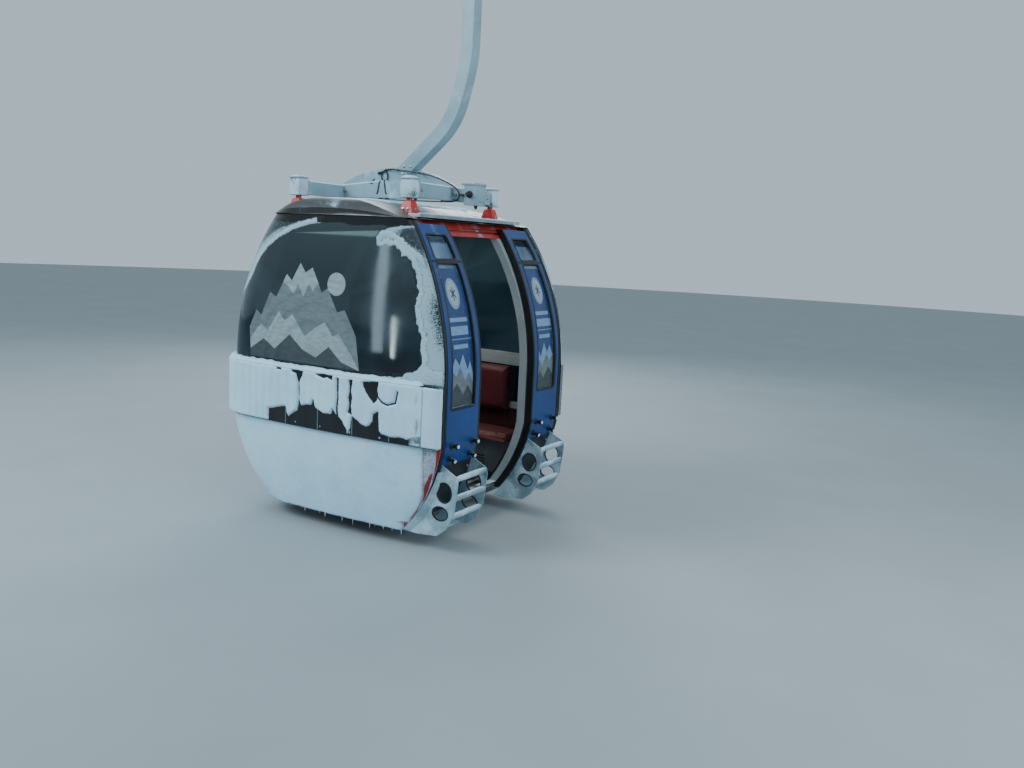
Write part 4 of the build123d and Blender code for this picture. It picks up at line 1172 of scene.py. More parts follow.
# %% [markdown]
# ## The print on the window
# Cabins carry large prints on perforated film that riders can look out through. This one is a
# plain mountain range of three ridges under a pale sun, in silver-grey. Each shape is one flat face
# that is cut into strips, so that it can bend, and then laid on the curved glass by rays.

# %% Printed ridges
PRINT_STRIP = 0.06
PRINTS = (
    # name, finish, lift, outline as across and height
    ("print_far_ridge", "mid", 0.0005, (
        (-0.60, 1.02), (-0.615, 1.22), (-0.55, 1.34), (-0.50, 1.31), (-0.42, 1.47), (-0.36, 1.44),
        (-0.27, 1.60),
        (-0.22, 1.56), (-0.15, 1.68), (-0.10, 1.62), (-0.04, 1.655), (0.05, 1.50), (0.10, 1.53),
        (0.19, 1.38),
        (0.25, 1.40), (0.35, 1.24), (0.385, 1.02))),
    ("print_snowfields", "light", 0.0008, (
        (-0.30, 1.545), (-0.27, 1.60), (-0.22, 1.56), (-0.15, 1.68), (-0.10, 1.62), (-0.04, 1.655),
        (0.02, 1.555),
        (-0.03, 1.50), (-0.06, 1.55), (-0.11, 1.46), (-0.16, 1.54), (-0.20, 1.47), (-0.25, 1.52))),
    ("print_near_ridge", "light", 0.0011, (
        (-0.60, 1.02), (-0.605, 1.14), (-0.50, 1.25), (-0.43, 1.21), (-0.33, 1.345), (-0.27, 1.29),
        (-0.20, 1.335),
        (-0.08, 1.20), (0.0, 1.26), (0.09, 1.31), (0.16, 1.22), (0.21, 1.245), (0.33, 1.10), (0.385, 1.02))),
    ("print_slopes", "dark", 0.0014, (
        (-0.60, 1.02), (-0.602, 1.07), (-0.47, 1.15), (-0.36, 1.09), (-0.22, 1.20), (-0.10, 1.11),
        (0.02, 1.07),
        (0.13, 1.15), (0.24, 1.06), (0.385, 1.02))),
)
PRINT_FINISH = {"light": print_light, "mid": print_mid, "dark": print_dark}


def laid_film(name, outline, lift, finish, tree, way, body="cabin"):
    """Lays a flat outline of points on a surface along way, cut into strips so that it can bend."""
    made = bmesh.new()
    face = made.faces.new([made.verts.new(point) for point in outline])
    low = [min(point[k] for point in outline) for k in range(3)]
    high = [max(point[k] for point in outline) for k in range(3)]
    for k in range(3):
        normal = [0, 0, 0]
        normal[k] = 1
        for number in range(1, math.ceil((high[k] - low[k]) / PRINT_STRIP)):
            cut = [0, 0, 0]
            cut[k] = low[k] + number * PRINT_STRIP
            everything = made.verts[:] + made.edges[:] + made.faces[:]
            bmesh.ops.bisect_plane(made, geom=everything, dist=WELD, plane_co=cut, plane_no=normal)
    bmesh.ops.triangulate(made, faces=made.faces[:])
    way = Vector(way)
    for vert in made.verts:
        spot, normal, _, _ = tree.ray_cast(vert.co - FAR * way, way)
        if normal.dot(way) > 0:
            normal = -normal
        vert.co = spot + normal * lift
    made.normal_update()
    if made.faces[:][0].normal.dot(way) > 0:
        bmesh.ops.reverse_faces(made, faces=made.faces[:])
    bmesh.ops.solidify(made, geom=made.faces[:], thickness=0.0002)
    return piece(made, name, finish, body=body)


for name, tone, lift, outline in PRINTS:
    laid_film(name, [at(x, -1, height) for x, height in outline], lift, PRINT_FINISH[tone], glass_walls,
              (0, 1, 0))
SUN = (0.17, 1.56, 0.075)
sun = [at(SUN[0] + SUN[2] * math.cos(math.tau * k / 32), -1, SUN[1] + SUN[2] * math.sin(math.tau * k / 32))
       for k in range(32)]
laid_film("print_sun", sun, 0.0005, print_light, glass_walls, (0, 1, 0))

# %% [markdown]
# ## Seals round the shell
# The panes are glued and their seams covered by extruded rubber beads. A small half-round section
# is drawn all the way round the shell under the belt and above it, from one door corner to the
# other. On the belt pale strips of sealant join its panes every 0.3 m.

# %% Beads and belt joints
BEAD = [(0.0055 * math.cos(math.tau * k / 10), 0.0065 * math.sin(math.tau * k / 10)) for k in range(10)]


def round_stations(tree, height, start, end, step, out=0.0):
    """Matrices along the way round the shell at a height, standing out from the surface."""
    found = []
    count = round((end - start) / step)
    for number in range(count + 1):
        origin, line = inwards(tree, start + (end - start) * number / count, height)
        spot, normal, _, _ = tree.ray_cast(origin, line)
        if normal.dot(line) > 0:
            normal = -normal
        normal.z = 0
        found.append(station(spot + normal * out, normal, (0, 0, 1)))
    return found


beads = bmesh.new()
swept(beads, round_stations(lower_walls, 0.592, 0.012, 2 * HALF_WAY - 0.012, 0.03), BEAD)
swept(beads, round_stations(glass_walls, 0.991, 0.025, 2 * HALF_WAY - 0.025, 0.03), BEAD)
piece(beads, "shell_beads", epdm, crease=60)

joints = bmesh.new()
for way in [0.31 * k - 0.05 for k in range(1, 17)]:
    column = []
    for height in (0.603, 0.66, 0.72, 0.79, 0.86, 0.92, 0.979):
        origin, line = inwards(belt_walls, way, height)
        spot, normal, _, _ = belt_walls.ray_cast(origin, line)
        if normal.dot(line) > 0:
            normal = -normal
        column.append(station(spot, normal, Vector((0, 0, 1)).cross(normal)))
    swept(joints, column, [(-0.001, -0.004), (0.001, -0.003), (0.0012, 0.0), (0.001, 0.003),
                           (-0.001, 0.004)])
piece(joints, "belt_joints", joint_sealant, crease=60)

# %% [markdown]
# ## Door corner trims
# At the door corners the pane ends in a glossy rounded trim, and a soft lip seal runs beside it
# for the leaf to close on. Both follow the cabin's bulging side, so their line is measured on the
# corner post, level by level.

# %% Corner trims
posts = surface("corner_post_left", "window_front", "lower_shell_front", "belt_window_front")
trims, lips = bmesh.new(), bmesh.new()
for side in (-1, 1):
    edge_line, lip_line = [], []
    for number in range(33):
        height = 0.20 + (1.985 - 0.20) * number / 32
        front, _, _, _ = posts.ray_cast(at(0.5, -FAR, min(height, 1.985)), Vector((0, 1, 0)))
        lean = -front.y - 0.835 if height > BELT_HIGH or height < BELT_LOW else 0.0
        for line, y in ((edge_line, 0.7675 + lean), (lip_line, 0.738 + lean)):
            spot, normal, _, _ = posts.ray_cast(at(FAR, -y, height), Vector((-1, 0, 0)))
            if normal.x < 0:
                normal = -normal
            line.append(station(Vector((spot.x, side * y, spot.z)), (normal.x, 0, normal.z), (0, side, 0)))
    swept(trims, edge_line, [(-0.002, -0.006), (0.0025, -0.005), (0.004, 0.0), (0.0025, 0.005),
                             (-0.002, 0.006)])
    swept(lips, lip_line, [(-0.002, -0.004), (0.0015, -0.004), (0.0022, 0.0), (0.0015, 0.004),
                           (-0.002, 0.004)])
piece(trims, "corner_trims", window_print, crease=60)
piece(lips, "corner_lips", epdm, crease=60)

# %% [markdown]
# ## Door leaves
# Each leaf is a blue coated frame with a fixed pane and a small vent above it. Rubber gaskets hold
# the panes, a joint strip covers the bar between them, and the vent has a dark louvre. The leaves
# are mirror images, so each piece is made once at the left and once with its sides swapped. The
# leaf bulges with the cabin, so every point is set by its height and measured on the leaf.

# %% A way over the leaf
leaf_frame = {name: surface(f"{name}_door_frame") for name in ("left", "right")}
leaf_glass = {name: surface(f"{name}_door_glass") for name in ("left", "right")}
SIDES = (("left", -1), ("right", 1))
LEAF_INNER = 0.412
LEAF_OUTER = 0.678
LEAF_EDGE = 0.724
PANE_LOW, PANE_HIGH = 0.830, 1.734
VENT_LOW, VENT_HIGH = 1.756, 1.908


@functools.lru_cache(maxsize=None)
def leaf_x(height):
    """How far out the leaf's face stands at a height, and which way it looks."""
    spot, normal, _, _ = leaf_frame["left"].ray_cast(at(FAR, -0.39, height), Vector((-1, 0, 0)))
    if normal.x < 0:
        normal = -normal
    return spot.x, Vector((normal.x, 0, normal.z)).normalized()


@functools.lru_cache(maxsize=None)
def leaf_lean(height):
    """How far the leaf's outer edge has leaned in at a height."""
    spot, _, _, _ = leaf_frame["left"].ray_cast(
        Vector((leaf_x(height)[0] - 0.023, -FAR, UNDERSIDE + height)), Vector((0, 1, 0)))
    return spot.y + LEAF_EDGE


def on_leaf(side, y, height, lift=0.0):
    """A station on a leaf's face; y is counted from the cabin's middle and leans in with the outer edge."""
    x, normal = leaf_x(round(height, 4))
    share = max(0.0, (y - LEAF_INNER) / (LEAF_OUTER - LEAF_INNER))
    y -= leaf_lean(round(height, 4)) * min(1.0, share)
    return Vector((x, side * y, UNDERSIDE + height)) + normal * lift, normal


def opening(low, high, corner, margin):
    """Points (y, height) round a pane's opening, with rounded corners."""
    found = []
    y0, y1, z0, z1 = LEAF_INNER - margin, LEAF_OUTER + margin, low - margin, high + margin
    for cy, cz, start in ((y1 - corner, z1 - corner, 0), (y0 + corner, z1 - corner, 90),
                          (y0 + corner, z0 + corner, 180), (y1 - corner, z0 + corner, 270)):
        for step in range(7):
            angle = math.radians(start + 15 * step)
            found.append((cy + corner * math.cos(angle), cz + corner * math.sin(angle)))
    filled = []
    for (ya, za), (yb, zb) in zip(found, found[1:] + found[:1]):
        parts = max(1, math.ceil(math.hypot(yb - ya, zb - za) / 0.05))
        filled += [(ya + (yb - ya) * k / parts, za + (zb - za) * k / parts) for k in range(parts)]
    return filled


print("leaf face at 1.2 m:", round(leaf_x(1.2)[0], 3), "lean at 1.9 m:", round(leaf_lean(1.9), 3))

# %% Gaskets, joint strip and louvre
GASKET = [(-0.022, 0.005), (-0.022, -0.007), (0.0, -0.008), (0.002, -0.006), (0.003, 0.0), (0.002, 0.006),
          (0.0, 0.007)]

for name, side in SIDES:
    gaskets = bmesh.new()
    for low, high in ((PANE_LOW, PANE_HIGH), (VENT_LOW, VENT_HIGH)):
        loop = opening(low, high, 0.020, 0.001)
        spots = [on_leaf(side, y, z) for y, z in loop]
        stations = []
        for number, (spot, normal) in enumerate(spots):
            ahead = spots[(number + 1) % len(spots)][0] - spots[number - 1][0]
            stations.append(station(spot, normal, ahead.cross(normal)))
        swept(gaskets, stations + stations[:1], GASKET)
    strip = []
    for share in range(9):
        y = 0.368 + (0.716 - 0.368) * share / 8
        spot, normal = on_leaf(side, y, 1.745)
        strip.append(station(spot, normal, (0, 0, 1)))
    swept(gaskets, strip, [(-0.002, -0.008), (0.0022, -0.007), (0.0028, 0.0), (0.0022, 0.007),
                           (-0.002, 0.008)])
    piece(gaskets, f"{name}_leaf_gaskets", epdm, f"{name}_door", 50)

    louvre = bmesh.new()
    for low in (1.872, 1.8805, 1.889, 1.8975):
        slat = []
        for share in range(5):
            y = 0.428 + (0.662 - 0.428) * share / 4
            spot, normal = on_leaf(side, y, low)
            slat.append(station(spot - normal * 0.013, normal, (0, 0, 1)))
        swept(louvre, slat, [(-0.003, -0.0005), (0.006, -0.0045), (0.0066, -0.0035), (-0.002, 0.0005)])
    for y in (0.430, 0.660):
        ends = []
        for height in (1.866, 1.884, 1.902):
            spot, normal = on_leaf(side, y, height)
            ends.append(station(spot - normal * 0.013, normal, (0, 1, 0)))
        swept(louvre, ends, [(-0.004, -0.003), (0.008, -0.003), (0.008, 0.003), (-0.004, 0.003)])
    piece(louvre, f"{name}_leaf_louvre", black_nylon, f"{name}_door", 40)

# %% [markdown]
# ## Film on the door panes
# Navy film with a white disc and plain pale bands covers the lower pane. It lies on the glass,
# which is set back from the leaf's face. A snow crystal of six spokes stands on the disc.

# %% Door films
FILM_LIFT = 0.0006
DISC = (0.548, 1.545, 0.052, 0.078)
BANDS = (
    # inner y, outer y, low, high
    (0.445, 0.640, 1.372, 1.398), (0.452, 0.655, 1.290, 1.345), (0.430, 0.664, 1.262, 1.268),
    (0.470, 0.630, 1.205, 1.232),
)


def leaf_patch(name, finish, lift, points):
    """Lays an outline of (y, height) on the glass of both leaves."""
    for leaf, side in SIDES:
        flat = [Vector((1.2, side * (y - leaf_lean(1.3) * 0.5), UNDERSIDE + z)) for y, z in points]
        laid_film(f"{leaf}_{name}", flat, lift, finish, leaf_glass[leaf], (-1, 0, 0), f"{leaf}_door")


leaf_patch("film_navy", navy_film, FILM_LIFT,
           [(0.424, 0.842), (0.424, 1.66), (0.445, 1.70), (0.64, 1.70), (0.655, 1.66), (0.667, 1.2),
            (0.667, 0.842)])
leaf_patch("film_ring", pale_blue_film, 2 * FILM_LIFT,
           [(DISC[0] + (DISC[2] + 0.016) * math.cos(math.tau * k / 40),
             DISC[1] + (DISC[3] + 0.018) * math.sin(math.tau * k / 40)) for k in range(40)])
leaf_patch("film_disc", white_film, 3 * FILM_LIFT,
           [(DISC[0] + DISC[2] * math.cos(math.tau * k / 40),
             DISC[1] + DISC[3] * math.sin(math.tau * k / 40))
            for k in range(40)])
for number in range(3):
    angle = math.radians(60 * number + 30)
    cy, cz = math.cos(angle), math.sin(angle)
    spoke = [(0.030, 0.0035), (-0.030, 0.0035), (-0.030, -0.0035), (0.030, -0.0035)]
    leaf_patch(f"film_spoke_{number}", navy_film, (4 + number) * FILM_LIFT,
               [(DISC[0] + a * cy - b * cz, DISC[1] + 1.45 * (a * cz + b * cy)) for a, b in spoke])
for number, (y0, y1, low, high) in enumerate(BANDS):
    leaf_patch(f"film_band_{number}", pale_blue_film, 2 * FILM_LIFT,
               [(y0, low), (y0, high), (y1, high), (y1, low)])
for number, (finish, ridge) in enumerate((
        (pale_blue_film, ((0.424, 1.04), (0.455, 1.12), (0.485, 1.07), (0.535, 1.17), (0.575, 1.10),
                          (0.62, 1.15),
                          (0.667, 1.07))),
        (print_mid, ((0.424, 0.98), (0.47, 1.05), (0.51, 1.00), (0.57, 1.09), (0.61, 1.03), (0.667, 1.08))),
        (print_dark, ((0.424, 0.90), (0.48, 0.97), (0.53, 0.91), (0.60, 0.99), (0.667, 0.93))))):
    leaf_patch(f"film_ridge_{number}", finish, (2 + number) * FILM_LIFT,
               [(0.424, 0.842), *ridge, (0.667, 0.842)])

# %% [markdown]
# ## Ski racks
# Skis ride outside, upright in a rack on each leaf. Its side plates are bent sheet steel, galvanised
# and frosted. A bent flange stiffens the plate's inner edge, rubber lines the holes and the backs
# of the cells, and the rails are rolled round at their edges. Two round rubber buffers hold the
# skis above.

# %% Rack details
RAIL_LEVELS = (0.404, 0.279, 0.153)
RACK_Y = (0.368, 0.713)
RACK_HOLES = ((1.004, 0.305, 0.057, 0.066), (0.978, 0.165, 0.060, 0.046))
RACK_FRONT = ((0.420, 1.097), (0.380, 1.107), (0.180, 1.086), (0.070, 1.030), (0.014, 0.959))


def rack_front(height):
    for (za, xa), (zb, xb) in zip(RACK_FRONT, RACK_FRONT[1:]):
        if zb <= height <= za:
            return xa + (xb - xa) * (za - height) / (za - zb)
    return RACK_FRONT[0][1]


for name, side in SIDES:
    steel, rubber, caps = bmesh.new(), bmesh.new(), bmesh.new()
    for y in (RACK_Y[0] + 0.0025, RACK_Y[1] - 0.0025):
        for hx, hz, long, tall in RACK_HOLES:
            rim = []
            for k in range(40):
                angle = math.tau * k / 40
                out = Vector((math.cos(angle), 0, math.sin(angle)))
                spot = at(hx + (long - 0.001) * out.x, side * y, hz + (tall - 0.001) * out.z)
                rim.append(station(spot, (0, 1, 0), out))
            swept(rubber, rim + rim[:1], [(-0.0045, -0.003), (0.0045, -0.003), (0.0045, 0.004),
                                          (-0.0045, 0.004)])
    for level in RAIL_LEVELS:
        x = rack_front(level) - 0.0135
        rail = [station(at(x, side * (0.371 + 0.339 * k / 8), level), (1, 0, 0),
                        (0, 0, 1)) for k in range(9)]
        bow = [(-0.006, -0.015), (0.0045, -0.017), (0.0075, -0.013), (0.0085, 0.0), (0.0075, 0.013),
               (0.0045, 0.017),
               (-0.006, 0.015)]
        swept(steel, rail, bow)
        heap(caps, at(x, side * 0.38, level + 0.0165), at(x, side * 0.70, level + 0.0165), 0.014, 0.006,
             level)
    bend = []
    for k in range(10):
        height = 0.438 - 0.428 * k / 9
        spot, normal = on_leaf(side, 0.5, max(height, 0.08))
        x = spot.x + (0.004 if height > 0.08 else -0.004 - (0.08 - height) * 1.1)
        wide = 0.020 + 0.052 * (k / 9)
        near = Vector((x, side * 0.7405, UNDERSIDE + height))
        fold = Vector((x + wide, side * 0.7135, UNDERSIDE + height))
        bend.append((near, fold))
    sheet = [steel.verts.new(point) for pair in bend for point in pair]
    strip = [steel.faces.new((sheet[2 * k], sheet[2 * k + 1], sheet[2 * k + 3],
                              sheet[2 * k + 2])) for k in range(9)]
    bmesh.ops.solidify(steel, geom=strip, thickness=0.003)
    for height in (0.10, 0.26, 0.42):
        for y in (0.40, 0.68):
            spot, normal = on_leaf(side, y, height)
            bolt(steel, spot + normal * 0.004, normal, 0.006)
    for height in (0.440, 0.360):
        for y, way in ((RACK_Y[1], side), (RACK_Y[0], -side)):
            bolt(steel, at(rack_front(height) - 0.055, side * y, height), (0, way, 0), 0.006)
    piece(steel, f"{name}_rack_fittings", galvanised, f"{name}_door", 40)

    backing = []
    for k in range(14):
        height = 0.085 + (0.470 - 0.085) * k / 13
        x, normal = leaf_x(round(height, 4))
        backing.append(station(Vector((x, 0, UNDERSIDE + height)), normal, (0, 1, 0)))
    swept(rubber, backing, [(-0.001, side * 0.376), (0.003, side * 0.376), (0.003, side * 0.704),
                            (-0.001, side * 0.704)])
    for y in (0.425, 0.655):
        for height in (0.515, 0.600):
            spot, normal = on_leaf(side, y, height)
            turned(rubber, [(-0.002, 0.0), (-0.002, 0.021), (0.006, 0.021), (0.010, 0.013), (0.034, 0.012),
                            (0.038, 0.019), (0.048, 0.019), (0.051, 0.014), (0.051, 0.0)], spot, normal, 24)
            turned(caps, [(0.0505, 0.0), (0.0505, 0.0125), (0.054, 0.010), (0.0565, 0.004), (0.057, 0.0)],
                   spot, normal, 16)
    piece(rubber, f"{name}_rack_rubber", epdm, f"{name}_door", 50)
    piece(caps, f"{name}_rack_snow", snow, f"{name}_door", 80)

# %% [markdown]
# ## Hanger foot and cable
# The hanger's foot is welded to the gusset, and a stiff black cable runs from a gland there, along
# the beam in clips, to the door lock's housing.

# %% Hanger welds and cable
CABLE = (
    # x, y, height and whether a clip holds it there
    (-0.150, -0.023, 2.330, True), (-0.090, -0.023, 2.352, True), (-0.020, -0.036, 2.358, False),
    (0.045, -0.058, 2.350, True), (0.140, -0.060, 2.342, False), (0.240, -0.062, 2.328, True),
    (0.340, -0.066, 2.312, False), (0.430, -0.070, 2.288, False), (0.510, -0.072, 2.256, False),
    (0.567, -0.073, 2.222, False), (0.592, -0.073, 2.185, True), (0.575, -0.070, 2.153, False),
    (0.530, -0.067, 2.1395, False), (0.440, -0.064, 2.1385, True), (0.320, -0.060, 2.1385, False),
    (0.200, -0.056, 2.140, True), (0.080, -0.052, 2.141, False), (-0.060, -0.046, 2.143, True),
    (-0.120, -0.043, 2.145, False),
)
CABLE_RADIUS = 0.0052


def smooth_path(points, parts):
    """Points along a Catmull-Rom curve through some places."""
    spots = [Vector(point) for point in points]
    spots = [2 * spots[0] - spots[1]] + spots + [2 * spots[-1] - spots[-2]]
    found = []
    for a, b, c, d in zip(spots, spots[1:], spots[2:], spots[3:]):
        for step in range(parts):
            t = step / parts
            found.append(0.5 * (2 * b + (c - a) * t + (2 * a - 5 * b + 4 * c - d) * t * t
                                + (3 * b - a - 3 * c + d) * t ** 3))
    return found + [spots[-2]]


def tube(made, spots, radius, around=12):
    """Sweeps a round section along some places."""
    circle = [(radius * math.cos(math.tau * k / around), radius * math.sin(math.tau * k / around))
              for k in range(around)]
    stations = []
    for number, spot in enumerate(spots):
        ahead = spots[min(number + 1, len(spots) - 1)] - spots[max(number - 1, 0)]
        side = ahead.cross(Vector((0, 0.2, 1))).normalized()
        stations.append(station(spot, side, ahead.cross(side)))
    swept(made, stations, circle)


beam_faces = surface("cross_beam")
cable = bmesh.new()
STRAP_MID = (-0.100, 2.306)
ring = [at(STRAP_MID[0] + 0.028 * math.cos(math.tau * k / 28), -0.0222,
           STRAP_MID[1] + 0.036 * math.sin(math.tau * k / 28))
        for k in range(29)]
tube(cable, ring, 0.0042, 8)
for way in (-1, 1):
    x = STRAP_MID[0]
    shelf, _, _, _ = beam_faces.ray_cast(at(x + way * 0.02, -0.040, 3.0), Vector((0, 0, -1)))
    shelf = shelf.z - UNDERSIDE
    tail = [at(x + way * 0.004, -0.0222, 2.272), at(x + way * 0.010, -0.026, shelf + 0.008),
            at(x + way * 0.016, -0.042, shelf + 0.004), at(x + way * 0.022, -0.0545, shelf - 0.004),
            at(x + way * 0.034, -0.0545, 2.205), at(x + way * 0.044, -0.0545, 2.180)]
    tube(cable, smooth_path(tail, 5), 0.0036, 8)
tube(cable, smooth_path([at(*stop[:3]) for stop in CABLE], 6), CABLE_RADIUS)
piece(cable, "lock_cable", cable_pvc, "cabin", 60)

clips = bmesh.new()
for (x, y, height, clipped), before, after in zip(CABLE, (CABLE[0],) + CABLE, CABLE[1:] + (CABLE[-1],)):
    if not clipped:
        continue
    way = (Vector(after[:3]) - Vector(before[:3])).normalized()
    spot = at(x, y, height)
    rod(clips, spot - 0.006 * way, spot + 0.006 * way, CABLE_RADIUS + 0.002, 20, 0.001)
    if x > 0.55:
        block(clips, spot + Vector((0.002, -0.005, -0.005)), spot + Vector((0.032, 0.016, 0.005)), 0.001)
    elif height < 2.2:
        block(clips, spot - Vector((0.006, 0.004, 0.002)), spot + Vector((0.006, 0.022, 0.018)), 0.001)
    else:
        foot = -0.012 if abs(x - 0.045) > 0.01 else -0.044
        block(clips, (spot.x - 0.006, spot.y, spot.z - 0.006),
              (spot.x + 0.006, at(0, foot, 0).y, spot.z + 0.006),
              0.001)
for stop, other in ((CABLE[0], CABLE[1]), (CABLE[-1], CABLE[-2])):
    way = (Vector(stop[:3]) - Vector(other[:3])).normalized()
    place = at(*stop[:3])
    rod(clips, place - 0.012 * way, place + 0.010 * way, 0.0095, 6, 0.001)
    block(clips, place - Vector((0.010, 0.002, 0.008)), place + Vector((0.010, 0.012, 0.012)), 0.001)
piece(clips, "lock_cable_clips", black_nylon)

hanger_faces = surface("hanger_arm")
welds = bmesh.new()
for side in (-1, 1):
    bead = []
    for k in range(61):
        x = -0.30 + 0.60 * k / 60
        spot, _, _, _ = beam_faces.ray_cast(at(x, side * 0.032, 3.0), Vector((0, 0, -1)))
        if spot is None:
            continue
        bead.append(station(Vector((x, side * 0.0165, spot.z + 0.0012)), (0, side, 0.9),
                            (0, 0, 1)))
    swept(welds, bead, [(0.0, -0.004), (0.0035, -0.002), (0.0035, 0.002), (0.0, 0.004), (-0.003, 0.0)])
piece(welds, "beam_welds", grey_carrier)

foot_bolts = bmesh.new()
for height in (2.325, 2.375):
    left, _, _, _ = hanger_faces.ray_cast(at(-FAR, 0.030, height), Vector((1, 0, 0)))
    right, _, _, _ = hanger_faces.ray_cast(at(FAR, 0.030, height), Vector((-1, 0, 0)))
    if left is None:
        continue
    for side in (-1, 1):
        for share in (0.3, 0.7):
            x = left.x + share * (right.x - left.x)
            spot, _, _, _ = hanger_faces.ray_cast(at(x, side * FAR, height), Vector((0, -side, 0)))
            bolt(foot_bolts, spot, (0, side, 0), 0.009)
print("hanger foot from", round(left.x, 3), "to", round(right.x, 3))
piece(foot_bolts, "hanger_foot_bolts", bright_steel)

# %% [markdown]
# ## Grip
# The wheels and rollers get hub caps and bolts, and the grip its pin nuts, spring caps
# and cover bolts. What turns rides on its own body.

# %% Grip fittings
WHEEL_X = (-0.148, -0.112)
for name, y in (("front", -0.150), ("rear", 0.150)):
    hub = bmesh.new()
    for x, way in ((WHEEL_X[0], -1), (WHEEL_X[1], 1)):
        turned(hub, [(-0.004, 0.0), (-0.004, 0.036), (0.0015, 0.036), (0.003, 0.034), (0.003, 0.024),
                     (0.0015, 0.022), (0.0015, 0.013), (0.006, 0.012), (0.008, 0.009), (0.008, 0.0)],
               at(x, y, 5.020), (way, 0, 0), 32)
        for k in range(5):
            angle = math.tau * k / 5
            bolt(hub, at(x + way * 0.003, y + 0.029 * math.cos(angle), 5.020 + 0.029 * math.sin(angle)),
                 (way, 0, 0), 0.004)
    piece(hub, f"running_wheel_hub_{name}", bright_steel, f"running_wheel_{name}")

cap = bmesh.new()
for height, way in ((4.793, -1), (4.823, 1)):
    turned(cap, [(-0.003, 0.0), (-0.003, 0.017), (0.002, 0.0165), (0.003, 0.012), (0.003, 0.0)],
           at(-0.136, 0, height), (0, 0, way), 28)
    for k in range(4):
        angle = math.tau * (k + 0.5) / 4
        bolt(cap, at(-0.136 + 0.0115 * math.cos(angle), 0.0115 * math.sin(angle), height + way * 0.002),
             (0, 0, way), 0.0028)
piece(cap, "guide_roller_cap", bright_steel, "guide_roller")

cap = bmesh.new()
turned(cap, [(-0.003, 0.0), (-0.003, 0.019), (0.002, 0.0185), (0.003, 0.014), (0.003, 0.008),
             (0.006, 0.0075),
             (0.007, 0.006), (0.007, 0.0)], at(0.222, 0, 4.960), (1, 0, 0), 28)
for k in range(4):
    angle = math.tau * k / 4
    bolt(cap, at(0.2245, 0.0135 * math.cos(angle), 4.960 + 0.0135 * math.sin(angle)), (1, 0, 0), 0.003)
piece(cap, "lever_roller_cap", bright_steel, "lever_roller")

grip = bmesh.new()
for y in (-0.105, 0.105):
    turned(grip, [(-0.002, 0.0), (-0.002, 0.030), (0.003, 0.030), (0.005, 0.027), (0.005, 0.012),
                  (0.010, 0.011),
                  (0.011, 0.009), (0.011, 0.0)], at(-0.022, y, 4.695), (0, 0, -1), 28)
    for k in range(4):
        angle = math.tau * (k + 0.5) / 4
        bolt(grip, at(-0.022 + 0.021 * math.cos(angle), y + 0.021 * math.sin(angle), 4.691), (0, 0, -1),
             0.004)
carriage = surface("grip_carriage")
for y in (-0.172, -0.095, 0.095, 0.172):
    for height in (4.800, 4.880, 4.960):
        spot, normal, _, _ = carriage.ray_cast(at(-FAR, y, height), Vector((1, 0, 0)))
        if spot is not None and abs(normal.x) > 0.99 and abs(spot.x) < 0.18:
            bolt(grip, spot, (-1, 0, 0), 0.008)
piece(grip, "grip_bolts", bright_steel, "grip")

# %% [markdown]
# ## Seats
# The cushions are foam under maroon vinyl, in three widths parted by sewn seams. Each is a copy of
# the CAD cushion that cloth simulation blows up from inside, while its back and its seams are held.
# The rear ones are mirror images of the front ones.

# %% Cushions
SEAT_SEAMS = (-0.27, 0.27)
CUSHION_VOXEL = 0.011
CUSHION_INSET = 0.006
SEAM_WIDE, SEAM_DEEP = 0.011, 0.012
SWELL_CAP = 0.016


def cushion(name, source, held, free):
    """Blows up a copy of a cushion; held tells which of its points are glued down, free its soft way out."""
    block_mesh = bmesh.new()
    block_mesh.from_mesh(frame["nodes"][source].data)
    bmesh.ops.remove_doubles(block_mesh, verts=block_mesh.verts[:], dist=WELD)
    soft = bpy.data.objects.new(name, bpy.data.meshes.new(name))
    block_mesh.to_mesh(soft.data)
    block_mesh.free()
    bpy.context.scene.collection.objects.link(soft)
    remesh = soft.modifiers.new("Remesh", "REMESH")
    remesh.mode = "VOXEL"
    remesh.voxel_size = CUSHION_VOXEL
    dense = bpy.data.meshes.new_from_object(soft.evaluated_get(bpy.context.evaluated_depsgraph_get()))
    soft.modifiers.clear()
    soft.data = dense
    low = Vector([min(vert.co[axis] for vert in dense.vertices) for axis in range(3)])
    high = Vector([max(vert.co[axis] for vert in dense.vertices) for axis in range(3)])
    mid = (low + high) / 2
    shrink = Vector([1 - 2 * CUSHION_INSET / (high[axis] - low[axis]) for axis in range(3)])
    pins = []
    for vert in dense.vertices:
        away = min(abs(vert.co.x - seam) for seam in SEAT_SEAMS)
        glued = held(vert.co)
        vert.co = mid + (vert.co - mid) * shrink - free * CUSHION_INSET * (1 if glued else 0)
        if away < SEAM_WIDE and not glued:
            vert.co -= free * SEAM_DEEP * (1 - ramp(away, 0.0, SEAM_WIDE))
        if glued or away < 0.4 * SEAM_WIDE:
            pins.append(vert.index)
    start = [vert.co.copy() for vert in dense.vertices]
    soft.vertex_groups.new(name="held").add(pins, 1.0, "REPLACE")
    swell = soft.modifiers.new("Cloth", "CLOTH")
    swell.settings.vertex_group_mass = "held"
    swell.settings.use_pressure = True
    swell.settings.uniform_pressure_force = 4
    swell.settings.effector_weights.gravity = 0
    for number in range(1, 21):
        bpy.context.scene.frame_set(number)
    blown = bpy.data.meshes.new_from_object(soft.evaluated_get(bpy.context.evaluated_depsgraph_get()))
    soft.modifiers.clear()
    moves = []
    for vert, place, grown in zip(dense.vertices, start, blown.vertices):
        move = grown.co - place
        moves.append(move.length)
        vert.co = place + move * min(1.0, SWELL_CAP / max(move.length, 1e-9))
    bpy.context.scene.frame_set(1)
    bpy.data.meshes.remove(blown)
    print(name, "swelled by up to", round(1000 * max(moves), 1), "mm, kept to", round(1000 * SWELL_CAP))
    soft.vertex_groups.clear()
    return soft


